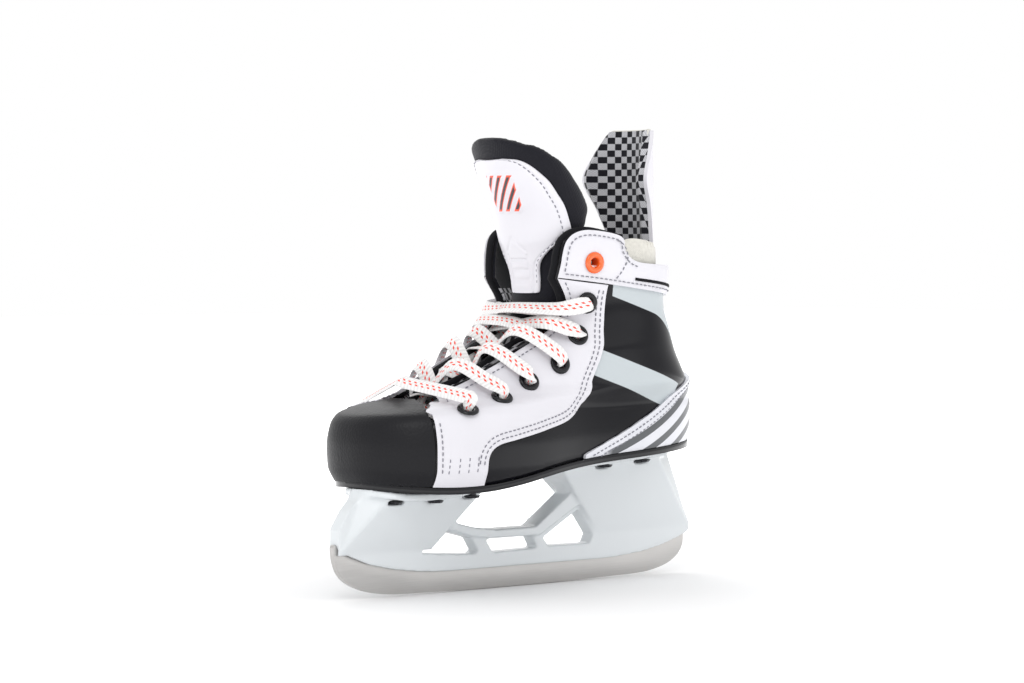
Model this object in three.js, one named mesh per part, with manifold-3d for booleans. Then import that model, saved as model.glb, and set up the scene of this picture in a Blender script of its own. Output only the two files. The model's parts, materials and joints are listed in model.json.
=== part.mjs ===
// Youth ice-hockey skate, left foot, as an assembly of separate named pieces.
// Millimetres. +Z up, toe towards -X, outer (lateral) side towards -Y.
// Origin: the middle of the steel runner's flat underside, where the skate meets the ice.
import * as THREE from 'three';
import { ConvexGeometry } from 'three/addons/geometries/ConvexGeometry.js';
import { mergeVertices } from 'three/addons/utils/BufferGeometryUtils.js';
import Module from 'manifold-3d';

// ---- driving dimensions -------------------------------------------------------------------
const BOOT_LENGTH = 202;
const BOOT_HALF_WIDTH = 42.5;
const SHAFT_HEIGHT = 122;
const SOLE_HEIGHT = 49.2;
const RUNNER_LENGTH = 220;
const RUNNER_THICKNESS = 3;
const STEEL_SHOWING = 10;
const STEEL_EMBEDDED = 4.5;
const ROCKER_RADIUS = 2700;
const FLAT_HALF_LENGTH = 8;

const GAP = 0.3;
const LINER_GAP = 0.5;
const OVERLAY_GAP = 0.4;
const SHELL_WALL = 2;
const LINER_WALL = 3;
const PAD_WALL = 4.2;
const OVERLAY_WALL = 1.5;
const CAP_PROUD = 1.4;
const OUTSOLE_THICKNESS = 3;
const OUTSOLE_LIP = 1.2;
const BOARD_THICKNESS = 2;
const FOOTBED_THICKNESS = 3.5;
const FLANGE_THICKNESS = 3.4;
const RAIL_HALF_THICKNESS = 4;
const BRIDGE_HALF_THICKNESS = 6;

const RIVET_SHANK_RADIUS = 2;
const RIVET_HEAD_RADIUS = 4;
const RIVET_HEAD_HEIGHT = 1.2;
const STUD_RADIUS = 2;
const STUD_LENGTH = 20;
const NUT_RADIUS = 3.6;
const NUT_HEIGHT = 3.2;
const ACCESS_RADIUS = 4.6;

const EYELET_FLANGE_RADIUS = 5.2;
const EYELET_FLANGE_HEIGHT = 1.3;
const EYELET_BARREL_RADIUS = 3;
const EYELET_BORE_RADIUS = 2.3;
const BARREL_DEPTH = 3.6;
const LACE_RADIUS = 1.4;

const TONGUE_THICKNESS = 5;
const TONGUE_PANEL_THICKNESS = 1;
const GUARD_SHELL = 1.8;
const GUARD_LINING = 3;
const GUARD_GAP = 0.8;
const SMOOTHING = 0.15;
const SETTLE = 0.01;

// ---- grading: the pattern is drafted for one last and graded to the sizes above -------------
const PATTERN = { length: 202, halfWidth: 42.5, shaft: 122, sole: 49.2, runner: 220 };
const LENGTH_GRADE = BOOT_LENGTH / PATTERN.length;
const WIDTH_GRADE = BOOT_HALF_WIDTH / PATTERN.halfWidth;
const SHAFT_GRADE = SHAFT_HEIGHT / PATTERN.shaft;
const RUNNER_GRADE = RUNNER_LENGTH / PATTERN.runner;
const HOLDER_GRADE = SOLE_HEIGHT / PATTERN.sole;
const bootX = (x) => x * LENGTH_GRADE;
const bootZ = (z) => SOLE_HEIGHT + (z - PATTERN.sole) * SHAFT_GRADE;
const boot = (pairs) => pairs.map(([x, z]) => [bootX(x), bootZ(z)]);
const holder = (pairs) => pairs.map(([x, z]) => [x * RUNNER_GRADE, z * HOLDER_GRADE]);

// ---- colours -----------------------------------------------------------------------------------
const finish = (color, roughness, metalness = 0) => ({ color, roughness, metalness });
const STEEL = finish(0x9a9590, 0.35, 1);
const HARDWARE = finish(0x8d8f92, 0.4, 1);
const HOLDER_WHITE = finish(0xdfe5ea, 0.25);
const SOLE_BLACK = finish(0x0c0c0e, 0.3);
const BOARD_BROWN = finish(0x8a7358, 0.9);
const FOOTBED_GREY = finish(0x3a3c40, 0.95);
const CAP_BLACK = finish(0x121316, 0.45);
const PATENT_BLACK = finish(0x08090b, 0.12);
const LEATHER_WHITE = finish(0xeceaf1, 0.4);
const LINER_CHECK = finish(0x55555a, 0.95);
const FOAM_CREAM = finish(0xeeead6, 0.9);
const TONGUE_BLACK = finish(0x141416, 0.7);
const EYELET_BLACK = finish(0x0b0b0c, 0.25);
const EYELET_ORANGE = finish(0xf0541e, 0.3);
const LACE_WHITE = finish(0xf2f0ee, 0.9);
const AGLET_CLEAR = finish(0xd8d8dc, 0.2);

const wasm = await Module();
wasm.setup();
const skate = new THREE.Group();

// ---- solids ------------------------------------------------------------------------------------
function toSolid(geometry) {
  const bare = geometry.clone();
  bare.deleteAttribute('normal');
  bare.deleteAttribute('uv');
  const merged = mergeVertices(bare, 1e-4);
  const vertProperties = new Float32Array(merged.attributes.position.array);
  const triVerts = new Uint32Array(merged.index.array);
  return new wasm.Manifold(new wasm.Mesh({ numProp: 3, vertProperties, triVerts }));
}

const biggest = (solid) => solid.decompose().reduce((a, b) => (b.volume() > a.volume() ? b : a));
const reread = (solid) => toSolid(asGeometry(solid));

function asGeometry(solid) {
  const mesh = solid.getMesh();
  const geometry = new THREE.BufferGeometry();
  geometry.setAttribute('position', new THREE.BufferAttribute(new Float32Array(mesh.vertProperties), 3));
  geometry.setIndex(new THREE.BufferAttribute(new Uint32Array(mesh.triVerts), 1));
  return geometry;
}

function add(name, shape, look, tidy = 0) {
  const solid = shape instanceof THREE.BufferGeometry ? toSolid(shape) : shape;
  const geometry = asGeometry(tidy ? biggest(reread(biggest(solid.simplify(tidy).simplify(SETTLE)))) : solid);
  geometry.computeVertexNormals();
  const part = new THREE.Mesh(geometry, new THREE.MeshStandardMaterial(look));
  part.name = name;
  skate.add(part);
}

const shapeOf = (pairs) => new THREE.Shape(pairs.map(([a, b]) => new THREE.Vector2(a, b)));

// A side-view outline (x, z) pushed across the skate from y0 to y1.
function sidePrism(pairs, y0, y1, holes = []) {
  const shape = shapeOf(pairs);
  shape.holes = holes.map((hole) => new THREE.Path(hole.map(([a, b]) => new THREE.Vector2(a, b))));
  const geometry = new THREE.ExtrudeGeometry(shape, { depth: y1 - y0, bevelEnabled: false });
  return toSolid(geometry.rotateX(Math.PI / 2).translate(0, y1, 0));
}

// A plan-view outline (x, y) raised from z0 to z1.
function planPrism(pairs, z0, z1) {
  const geometry = new THREE.ExtrudeGeometry(shapeOf(pairs), { depth: z1 - z0, bevelEnabled: false });
  return toSolid(geometry.translate(0, 0, z0));
}

// A closed skin over rings that all have the same number of points. A bowed ring runs along its
// outer face and back along its inner face, so its ends are closed by pairing the two faces.
function loft(rings, bowed = false) {
  const count = rings[0].length;
  const positions = rings.flat().flatMap((p) => [p.x, p.y, p.z]);
  const index = [];
  for (let r = 0; r + 1 < rings.length; r += 1) {
    for (let i = 0; i < count; i += 1) {
      const a = r * count + i;
      const b = r * count + ((i + 1) % count);
      index.push(a, b, b + count, a, b + count, a + count);
    }
  }
  const last = (rings.length - 1) * count;
  if (bowed) {
    for (let i = 0; i + 1 < count / 2; i += 1) {
      const j = count - 1 - i;
      index.push(i, j, j - 1, i, j - 1, i + 1);
      index.push(last + i, last + j - 1, last + j, last + i, last + i + 1, last + j - 1);
    }
  } else {
    for (let i = 1; i + 1 < count; i += 1) {
      index.push(0, i + 1, i, last, last + i, last + i + 1);
    }
  }
  const geometry = new THREE.BufferGeometry();
  geometry.setAttribute('position', new THREE.Float32BufferAttribute(positions, 3));
  geometry.setIndex(index);
  return geometry;
}

const cylinder = (x, y, z0, z1, radius, sides = 12) => toSolid(
  new THREE.CylinderGeometry(radius, radius, z1 - z0, sides).rotateX(Math.PI / 2).translate(x, y, (z0 + z1) / 2),
);

// ---- the last: level sections of the boot, each an egg built from two superellipse halves --------
// z, toe end, heel end, widest point, half width, squareness of the front and of the heel
const SECTIONS = [
  [44, -86, 94, -42, 35, 2.3, 2.3],
  [53, -94, 98, -42, 40, 2.3, 2.4],
  [60, -97.2, 100.5, -40, 42.2, 2.3, 2.4],
  [70, -97.8, 103, -38, 42.5, 2.3, 2.4],
  [79, -96.4, 104.3, -35, 41.8, 2.3, 2.4],
  [84, -93, 104.3, -31, 41, 2.3, 2.4],
  [87.5, -83, 103.6, -24, 39.8, 2.3, 2.4],
  [90, -71, 102.8, -8, 39, 2.1, 2.4],
  [93.5, -64, 101, 20, 38.4, 2, 2.4],
  [98, -60, 98.5, 46, 38, 2, 2.4],
  [106, -47, 93.5, 54, 37, 2, 2.3],
  [114, -28, 89.5, 55, 36, 2, 2.2],
  [122, -13, 86.3, 56, 35, 2, 2.2],
  [137, -11, 81.5, 56, 33.4, 2.1, 2.2],
  [148, -14, 81.8, 56, 33.6, 2.5, 2.2],
  [158, -15, 83, 56, 34, 2.6, 2.2],
  [176, -15, 83.5, 56, 34, 2.6, 2.2],
];
const WAIST_PINCH = 0.17;
const WAIST_X = 22;
const WAIST_SPREAD = 36;
const TOE_BEND = 3.2;
const RISE_SHARE = 0.6;
const SLOPE_SWELL = 1.15;
const RING_HALF = 12;

function sectionAt(z) {
  const above = SECTIONS.findIndex((section) => section[0] > z);
  const k = above < 0 ? SECTIONS.length - 2 : Math.max(0, above - 1);
  const t = (z - SECTIONS[k][0]) / (SECTIONS[k + 1][0] - SECTIONS[k][0]);
  return SECTIONS[k].map((value, i) => THREE.MathUtils.lerp(value, SECTIONS[k + 1][i], t));
}

const pinchAt = (x, z) => 1 - WAIST_PINCH * Math.exp(-(((x - WAIST_X) / WAIST_SPREAD) ** 2))
  * THREE.MathUtils.clamp((116 - z) / 30, 0, 1);
const bendAt = (x) => TOE_BEND * (Math.max(0, -30 - x) / 60) ** 2;

// One point of the boot's skin in pattern units: f runs 0..1 from the toe to the heel.
function skinPoint(z, f, side, offset) {
  const [, toe, heel, wide, half, frontPower, heelPower] = sectionAt(z - offset * RISE_SHARE);
  const angle = Math.PI * f;
  const front = f < 0.5;
  const power = front ? frontPower : heelPower;
  const reach = (front ? wide - toe : heel - wide) + offset;
  const x = wide - Math.sign(Math.cos(angle)) * reach * Math.abs(Math.cos(angle)) ** (2 / power);
  const y = (half + offset) * Math.abs(Math.sin(angle)) ** (2 / power) * pinchAt(x, z) * side + bendAt(x);
  return new THREE.Vector3(bootX(x), y * WIDTH_GRADE, bootZ(z));
}

function skinRing(z, offset) {
  const ring = [];
  for (let i = 0; i < RING_HALF; i += 1) {
    ring.push(skinPoint(z, i / RING_HALF, -1, offset));
  }
  for (let i = RING_HALF; i > 0; i -= 1) {
    ring.push(skinPoint(z, i / RING_HALF, 1, offset));
  }
  return ring;
}

const LEVELS = [46, ...SECTIONS.slice(1, -1).map(([z]) => z), 174];
const lastBody = (offset) => toSolid(loft(LEVELS.map((z) => skinRing(z, offset))));
const layer = (inner, outer) => lastBody(outer).subtract(lastBody(inner));

// Half width of the skin at a station and height, found along its section.
function skinAt(x, z, side, offset) {
  let low = 0;
  let high = 0.5;
  const [, , , wide] = sectionAt(z);
  if (x > wide) {
    low = 0.5;
    high = 1;
  }
  for (let i = 0; i < 30; i += 1) {
    const mid = (low + high) / 2;
    if (skinPoint(z, mid, side, offset).x < bootX(x)) {
      low = mid;
    } else {
      high = mid;
    }
  }
  return skinPoint(z, low, side, offset);
}

function skinNormal(x, z, side) {
  const step = 4;
  const alongX = skinAt(x + step, z, side, 0).sub(skinAt(x - step, z, side, 0));
  const alongZ = skinAt(x, z + step, side, 0).sub(skinAt(x, z - step, side, 0));
  return alongX.cross(alongZ).multiplyScalar(-side).normalize();
}

// ---- sole line: the underside of the outsole, seen from the side -----------------------------------
const soleCurve = new THREE.SplineCurve([
  [-108, 54.4], [-90, 50.6], [-70, 49.2], [-50, 49.8], [-30, 52.3], [-5, 56.6], [20, 59.4], [50, 61.6],
  [85, 63.8], [112, 65.3],
].map(([x, z]) => new THREE.Vector2(bootX(x), SOLE_HEIGHT + z - PATTERN.sole)));
const SOLE_STEPS = 13;
const solePoints = soleCurve.getPoints(SOLE_STEPS);

function soleAt(x) {
  const past = solePoints.findIndex((p) => p.x > x);
  const k = past < 0 ? SOLE_STEPS : Math.max(1, past);
  const [a, b] = [solePoints[k - 1], solePoints[k]];
  return a.y + ((x - a.x) * (b.y - a.y)) / (b.x - a.x);
}

// A band that follows the sole line between two heights above it.
function soleBand(low, high, halfWidth = 60) {
  const under = solePoints.map((p) => [p.x, p.y + low]);
  const over = solePoints.map((p) => [p.x, p.y + high]).reverse();
  return sidePrism([...under, ...over], -halfWidth, halfWidth);
}

// A side outline whose lower edge is the upper's seat on the outsole, from x0 to x1.
const UPPER_SEAT = OUTSOLE_THICKNESS + GAP;
function seat(x0, x1) {
  const inner = solePoints.filter((p) => p.x > x0 + 1 && p.x < x1 - 1).map((p) => [p.x, p.y + UPPER_SEAT]);
  return [[x0, soleAt(x0) + UPPER_SEAT], ...inner, [x1, soleAt(x1) + UPPER_SEAT]];
}

// Edge points near the sole keep their height over the seat when the shaft changes.
const patternSeat = (x) => PATTERN.sole + (soleAt(bootX(x)) + UPPER_SEAT - SOLE_HEIGHT);
const aboveSeat = (pairs) => pairs.map(([x, z]) => [bootX(x),
  soleAt(bootX(x)) + UPPER_SEAT + (z - patternSeat(x)) * SHAFT_GRADE]);

// ---- runner and holder --------------------------------------------------------------------------------
const rocker = (x) => (Math.abs(x) <= FLAT_HALF_LENGTH ? 0 : (x * x - FLAT_HALF_LENGTH ** 2) / (2 * ROCKER_RADIUS));
const runnerX = (x) => x * RUNNER_GRADE;
const TOE_NOSE = [[-92, 4.2], [-100, 7.4], [-106, 12], [-109, 17.5], [-110, 24.5]];
const HEEL_NOSE = [[92, 3.4], [101, 5.6], [107, 9.2], [110, 14.5], [110, 19.5]];
const RAIL_LIFT = STEEL_SHOWING - 10;
const railLine = [[-110, 24.8], [-101, 20], [-90, 15.8], [-76, 12.8], [-60, 10.8], [-44, 10], [53, 10], [66, 10.6],
  [80, 12], [93, 14.4], [104, 17.6], [110, 19.8]].map(([x, z]) => [runnerX(x), z + RAIL_LIFT]);
const buriedLine = (lift) => railLine.slice(1, -1).map(([x, z]) => [x, z + lift]).reverse();
const TREAD_STATIONS = [-82, -64, -46, -27, -8, 8, 27, 46, 64, 82];
const tread = TREAD_STATIONS.map((x) => [runnerX(x), rocker(runnerX(x))]);
const graded = (pairs) => pairs.map(([x, z]) => [runnerX(x), z]);
const STUD_STATIONS = { front: runnerX(-72), rear: runnerX(76) };
const TAB_HALF = 6;
const TAB_HEIGHT = 24;
const tabTop = TAB_HEIGHT * HOLDER_GRADE;
const tabAt = (x, grow) => sidePrism(
  [[x - TAB_HALF - grow, 12], [x + TAB_HALF + grow, 12], [x + TAB_HALF + grow, tabTop + grow],
    [x - TAB_HALF - grow, tabTop + grow]],
  -RUNNER_THICKNESS / 2 - grow,
  RUNNER_THICKNESS / 2 + grow,
);
const steelOutline = [...graded([...TOE_NOSE].reverse()), ...tread, ...graded(HEEL_NOSE)];
let runner = sidePrism([...steelOutline, ...buriedLine(STEEL_EMBEDDED)], -RUNNER_THICKNESS / 2, RUNNER_THICKNESS / 2);
for (const x of Object.values(STUD_STATIONS)) {
  runner = runner.add(tabAt(x, 0)).subtract(cylinder(x, 0, tabTop - 5, tabTop + 1, 0.9, 8));
}
add('runner', runner, STEEL, SMOOTHING / 4);

const slotHalf = RUNNER_THICKNESS / 2 + GAP;
const slot = sidePrism(
  [[runnerX(-125), -5], [runnerX(125), -5], [runnerX(125), 20.4], ...railLine.slice(1, -1).reverse()
    .map(([x, z]) => [x, z + STEEL_EMBEDDED + GAP]), [runnerX(-125), 25]],
  -slotHalf,
  slotHalf,
);
const railTop = holder([[113, 23], [104, 40], [101, 47], [97, 57.5]]);
const webTop = holder([[24, 54], [30, 43], [9, 28.4], [-17, 28.4], [-30, 30.2], [-41, 33], [-30, 45], [-97, 47],
  [-103, 41], [-111.5, 28]]);
const windows = [
  [[-50, 30], [-29.5, 24.8], [-25.5, 18.6], [-28, 17.2], [-61, 19.4]],
  [[-21, 24], [8, 24], [11.5, 17.8], [-16.5, 17.2]],
  [[37.5, 35], [15, 22.6], [18.5, 18.4], [45, 18], [47, 22.5]],
].map(holder);
let holderBody = sidePrism([...railLine, ...railTop, ...webTop], -RAIL_HALF_THICKNESS, RAIL_HALF_THICKNESS, windows);

// A post is the hull of its narrow foot on the rail and its broad head under the flange.
function post(foot, head) {
  const corners = [];
  for (const [z, plan] of [foot, head]) {
    for (const [x, half] of plan) {
      corners.push(new THREE.Vector3(x * RUNNER_GRADE, half, z * HOLDER_GRADE));
      corners.push(new THREE.Vector3(x * RUNNER_GRADE, -half, z * HOLDER_GRADE));
    }
  }
  return toSolid(new ConvexGeometry(corners));
}
const FLANGE_HALF = { front: 22, rear: 19 };
const bridge = sidePrism(
  holder([[-66, 38], [-53, 32], [-41, 29], [-31, 26], [-22, 24.8], [11, 24], [34, 36.5], [56, 45], [40, 50], [30, 43],
    [9, 28.4], [-17, 28.4], [-30, 30.2], [-41, 33], [-34, 43]]),
  -BRIDGE_HALF_THICKNESS,
  BRIDGE_HALF_THICKNESS,
);
holderBody = holderBody
  .add(post([21, [[-109, 3.8], [-54, 4]]], [50, [[-96, 4], [-84, FLANGE_HALF.front - 7], [-30, FLANGE_HALF.front - 6]]]))
  .add(post([23, [[50, 4], [112, 3.8]]], [62, [[15, FLANGE_HALF.rear - 6], [80, FLANGE_HALF.rear - 5], [95, 5]]]))
  .add(bridge);
const flangeUnder = -GAP - FLANGE_THICKNESS;
const belowFlange = soleBand(flangeUnder - 60, -GAP - FLANGE_THICKNESS / 2);
holderBody = holderBody.intersect(belowFlange);

// Plan of a flange: half circle ends joined by straight sides.
function flangePlan(x0, x1, half0, half1) {
  const plan = [];
  for (let i = 0; i <= 6; i += 1) {
    const a = Math.PI / 2 + (Math.PI * i) / 6;
    plan.push([x0 + half0 * 0.8 + half0 * 0.8 * Math.cos(a), half0 * Math.sin(a)]);
  }
  for (let i = 0; i <= 6; i += 1) {
    const a = -Math.PI / 2 + (Math.PI * i) / 6;
    plan.push([x1 - half1 * 0.4 + half1 * 0.4 * Math.cos(a), half1 * Math.sin(a)]);
  }
  return plan;
}
const FLANGE_SPAN = {
  front: [runnerX(-96), runnerX(-27)],
  rear: [runnerX(6), runnerX(91)],
};
const flangeBand = soleBand(flangeUnder, -GAP);
const frontFlange = planPrism(flangePlan(...FLANGE_SPAN.front, FLANGE_HALF.front, 18), 30, 90);
const rearFlange = planPrism(flangePlan(...FLANGE_SPAN.rear, FLANGE_HALF.rear, 17), 30, 90);
holderBody = holderBody.add(frontFlange.add(rearFlange).intersect(flangeBand)).subtract(slot);

const RIVET_STATIONS = { front: [-82, -62, -40].map(runnerX), rear: [46, 71].map(runnerX) };
const RIVET_EDGE = 5.4;
const rivetSpots = [];
for (const [end, stations] of Object.entries(RIVET_STATIONS)) {
  stations.forEach((x, i) => {
    for (const side of [-1, 1]) {
      const inward = end === 'front' && i === 0 ? 5 : 0;
      const y = side * (FLANGE_HALF[end] - RIVET_EDGE - inward);
      const place = side < 0 ? 'lateral' : 'medial';
      rivetSpots.push({ name: `rivet_${end}_${i + 1}_${place}`, x, y });
    }
  });
}
const boreRadius = RIVET_SHANK_RADIUS + GAP;
const under = (x) => Math.min(soleAt(x - RIVET_HEAD_RADIUS), soleAt(x + RIVET_HEAD_RADIUS));
const over = (x) => Math.max(soleAt(x - RIVET_HEAD_RADIUS), soleAt(x + RIVET_HEAD_RADIUS));
const boardTop = UPPER_SEAT + BOARD_THICKNESS;
for (const { x, y } of rivetSpots) {
  const headRoom = under(x) + flangeUnder;
  holderBody = holderBody
    .subtract(cylinder(x, y, headRoom - RIVET_HEAD_HEIGHT - 3 * GAP, headRoom, RIVET_HEAD_RADIUS + 1.2, 8))
    .subtract(cylinder(x, y, headRoom - 1, over(x) + 1, boreRadius, 8));
}
for (const x of Object.values(STUD_STATIONS)) {
  const pocket = tabTop + STUD_LENGTH - 8;
  holderBody = holderBody
    .subtract(tabAt(x, GAP))
    .subtract(cylinder(x, 0, tabTop - 1, pocket, STUD_RADIUS + GAP, 10))
    .subtract(cylinder(x, 0, pocket, over(x) + 1, ACCESS_RADIUS, 12));
}
add('blade_holder', holderBody, HOLDER_WHITE, SMOOTHING);

for (const { name, x, y } of rivetSpots) {
  const head = under(x) + flangeUnder - GAP;
  const clinch = over(x) + boardTop + GAP;
  const profile = [
    [0, head - RIVET_HEAD_HEIGHT], [RIVET_HEAD_RADIUS * 0.8, head - RIVET_HEAD_HEIGHT],
    [RIVET_HEAD_RADIUS, head], [RIVET_SHANK_RADIUS, head],
    [RIVET_SHANK_RADIUS, clinch], [3, clinch], [3, clinch + 0.8], [0, clinch + 0.8],
  ].map(([r, z]) => new THREE.Vector2(r, z));
  add(name, new THREE.LatheGeometry(profile, 8).rotateX(Math.PI / 2).translate(x, y, 0), HARDWARE);
}
for (const [end, x] of Object.entries(STUD_STATIONS)) {
  const nutSeat = tabTop + STUD_LENGTH - 8 + GAP;
  const stud = cylinder(x, 0, tabTop + 0.2, nutSeat + NUT_HEIGHT + 1.5, STUD_RADIUS, 10)
    .add(cylinder(x, 0, tabTop - 4.4, tabTop + 0.2, 0.6, 8));
  add(`runner_stud_${end}`, stud, HARDWARE);
  const nut = cylinder(x, 0, nutSeat, nutSeat + NUT_HEIGHT, NUT_RADIUS, 6)
    .subtract(cylinder(x, 0, nutSeat - 1, nutSeat + NUT_HEIGHT + 1, STUD_RADIUS + GAP, 10));
  add(`runner_nut_${end}`, nut, HARDWARE);
}

// ---- sole pieces ------------------------------------------------------------------------------------------
function throughSole(solid) {
  let cut = solid;
  for (const { x, y } of rivetSpots) {
    cut = cut.subtract(cylinder(x, y, 40, 90, boreRadius, 8));
  }
  for (const x of Object.values(STUD_STATIONS)) {
    cut = cut.subtract(cylinder(x, 0, 40, 90, ACCESS_RADIUS, 10));
  }
  return cut;
}
const insideLiner = lastBody(-SHELL_WALL - LINER_GAP - LINER_WALL - GAP);
add('outsole', throughSole(lastBody(CAP_PROUD + OUTSOLE_LIP).intersect(soleBand(0, OUTSOLE_THICKNESS))), SOLE_BLACK, SMOOTHING);
add('insole_board', throughSole(insideLiner.intersect(soleBand(UPPER_SEAT, boardTop))), BOARD_BROWN, SMOOTHING);
const footbedBase = boardTop + 2.2;
add('footbed', insideLiner.intersect(soleBand(footbedBase, footbedBase + FOOTBED_THICKNESS)), FOOTBED_GREY, SMOOTHING);

// ---- pattern lines of the upper (side view) ------------------------------------------------------------------
const CAP_EDGE = -76.5;
const THROAT = [[-64, 91.2], [-59, 95], [-50, 98.6], [-35, 105.6], [-17, 114], [0, 122.6], [7.5, 130], [9.5, 138], [3.5, 148]];
const COLLAR_TOP = [[5, 160], [7, 166], [12, 170], [21, 171], [37.5, 168], [40.5, 161], [47, 156.2], [64, 154.6], [96, 154]];
const COLLAR_SEAM = [[3.5, 148], [30, 145], [69, 140], [96, 137]];
const FACING_EDGE = [[30.5, 144.8], [26, 116], [19, 100], [12, 88.5], [3, 81.5], [-14, 77.4], [-51.5, 70.4]];
const HEEL_WRAP_EDGE = [[108, 106], [98, 102], [66, 86], [39, 73.5], [15, 64]];
const far = bootX(120);
const top = bootZ(176);

const sides = { lateral: -1, medial: 1 };
const halfSpan = (side, outline) => (side < 0
  ? sidePrism(outline, -60, -GAP / 2) : sidePrism(outline, GAP / 2, 60));

const linerOuter = -SHELL_WALL - LINER_GAP;
const linerInner = linerOuter - LINER_WALL;
const overlayOuter = OVERLAY_GAP + OVERLAY_WALL;
const seatHeight = overlayOuter * SLOPE_SWELL + GAP;

// ---- eyelets: a row up each facing and one orange eyelet in each collar flap -----------------------------------
const EYELET_ROW = [[-58.5, 86], [-36, 91], [-17, 98.8], [1.5, 107.2], [14.5, 120.3], [20, 136.5]];
const COLLAR_EYELET = [21.5, 155.6];
const MEDIAL_SHIFT = { x: 3, z: -2.5 };
const rowSpot = (side, row) => {
  const [x, z] = EYELET_ROW[row - 1];
  return side > 0 ? [x + MEDIAL_SHIFT.x, z + MEDIAL_SHIFT.z] : [x, z];
};
const eyelets = [];
for (const [place, side] of Object.entries(sides)) {
  [...EYELET_ROW.map((_, i) => rowSpot(side, i + 1)), COLLAR_EYELET].forEach(([x, z], i) => {
    const centre = skinAt(x, z, side, 0);
    const normal = skinNormal(x, z, side);
    eyelets.push({ place, side, row: i + 1, centre, normal, collar: i === EYELET_ROW.length });
  });
}
const alongNormal = (geometry, centre, normal) => {
  const turn = new THREE.Quaternion().setFromUnitVectors(new THREE.Vector3(0, 1, 0), normal);
  return geometry.applyQuaternion(turn).translate(centre.x, centre.y, centre.z);
};
const punches = (side) => eyelets.filter((e) => e.side === side).map(({ centre, normal }) => toSolid(
  alongNormal(new THREE.CylinderGeometry(EYELET_BARREL_RADIUS + GAP, EYELET_BARREL_RADIUS + GAP, 24, 8), centre, normal),
));
const seatCutters = (side) => eyelets.filter((e) => e.side === side).map(({ centre, normal }) => toSolid(alongNormal(
  new THREE.CylinderGeometry(EYELET_FLANGE_RADIUS + GAP, EYELET_FLANGE_RADIUS + GAP, 8, 12).translate(0, 4 + overlayOuter * SLOPE_SWELL, 0),
  centre,
  normal,
)));
const spotFaced = (solid, side) => seatCutters(side).reduce((left, cutter) => left.subtract(cutter), solid);
const punched = (solid, side) => punches(side).reduce((left, hole) => left.subtract(hole), solid);

// ---- tongue lines and the lace's route: over-laced up the black eyelets ------------------------------------------
// x, z of the front face's middle, bow radius, half angle of the bow in degrees
const TONGUE_LOWER = [[-62, 84, 27, 46], [-50, 89, 26, 54], [-33, 96, 26, 58], [-15, 104.5, 26, 56], [-3.5, 114, 26, 52],
  [4, 127, 26, 48], [5.5, 134, 26, 48]];
const TONGUE_UPPER = [[6, 140.5, 26.5, 38], [5.4, 150, 27, 42], [2.8, 162, 27.5, 46], [-0.8, 171, 28, 56],
  [-5, 181, 29.5, 76], [-9, 190, 31, 72], [-12.8, 198, 32.5, 62], [-15.8, 205.5, 33.5, 47], [-17.2, 209.5, 34, 32],
  [-18, 212, 34, 14]];

const laceInside = (linerInner - LINER_GAP) * SLOPE_SWELL - LACE_RADIUS;
const laceOutside = overlayOuter + LACE_RADIUS + GAP;
const eyeletAt = (side, row) => eyelets.find((e) => e.side === side && e.row === row);
const offNormal = ({ centre, normal }, depth) => centre.clone().addScaledVector(normal, depth);
const offSkin = (side, x, z, depth) => offNormal({ centre: skinAt(x, z, side, 0), normal: skinNormal(x, z, side) }, depth);

// Straight down through an eyelet, from the outside to the inside.
const aboveFlange = seatHeight + EYELET_FLANGE_HEIGHT + LACE_RADIUS + 1.3;
const through = (eyelet) => [aboveFlange, 1, -5, laceInside].map((depth) => offNormal(eyelet, depth));

function nearest(curve, x, z) {
  const target = new THREE.Vector3(x, 0, z);
  const steps = Array.from({ length: 101 }, (_, i) => i / 100);
  return steps.reduce((best, u) => (curve.getPointAt(u).distanceTo(target)
    < curve.getPointAt(best).distanceTo(target) ? u : best), 0);
}
const upFrom = (tangent) => new THREE.Vector3(-tangent.z, 0, tangent.x);

// Pattern x, z of the place beyond the throat's edge beside an eyelet, shifted along the edge.
const throatLine = new THREE.CatmullRomCurve3(THROAT.map(([x, z]) => new THREE.Vector3(x, 0, z)));
function beyondThroat([x, z], shift, beyond) {
  const u = THREE.MathUtils.clamp(nearest(throatLine, x, z) + shift / throatLine.getLength(), 0, 1);
  const place = throatLine.getPointAt(u).addScaledVector(upFrom(throatLine.getTangentAt(u)), beyond);
  return [place.x, place.z];
}

// The nearest place on the tongue's front line, raised off it.
const tongueLine = new THREE.CatmullRomCurve3([...TONGUE_LOWER, ...TONGUE_UPPER.slice(0, 3)]
  .map(([x, z]) => new THREE.Vector3(bootX(x), 0, bootZ(z))));
function aboveTongue(x, z, height) {
  const u = nearest(tongueLine, bootX(x), bootZ(z));
  return tongueLine.getPointAt(u).addScaledVector(upFrom(tongueLine.getTangentAt(u)), height);
}

// From under one facing, round its throat edge, over the tongue and onto the other facing.
const EDGE = { beyond: LACE_RADIUS + 1.2, leave: 4, arrive: -4, rise: -2.5, over: 4.2 };
function crossing(from, to, lift) {
  const start = rowSpot(from.side, from.row);
  const end = rowSpot(to.side, to.row);
  const leave = beyondThroat(start, EDGE.leave, EDGE.beyond);
  const arrive = beyondThroat(end, EDGE.arrive, EDGE.beyond);
  const middle = [(leave[0] + arrive[0]) / 2, (leave[1] + arrive[1]) / 2];
  const approach = [(end[0] * 2 + arrive[0]) / 3, (end[1] * 2 + arrive[1]) / 3];
  return [
    offSkin(from.side, ...leave, laceInside),
    offSkin(from.side, ...leave, EDGE.rise),
    aboveTongue(...middle, LACE_RADIUS + 3 + lift),
    offSkin(to.side, ...arrive, EDGE.over + lift / 2),
    offSkin(to.side, ...approach, aboveFlange + lift / 4),
  ];
}

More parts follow.
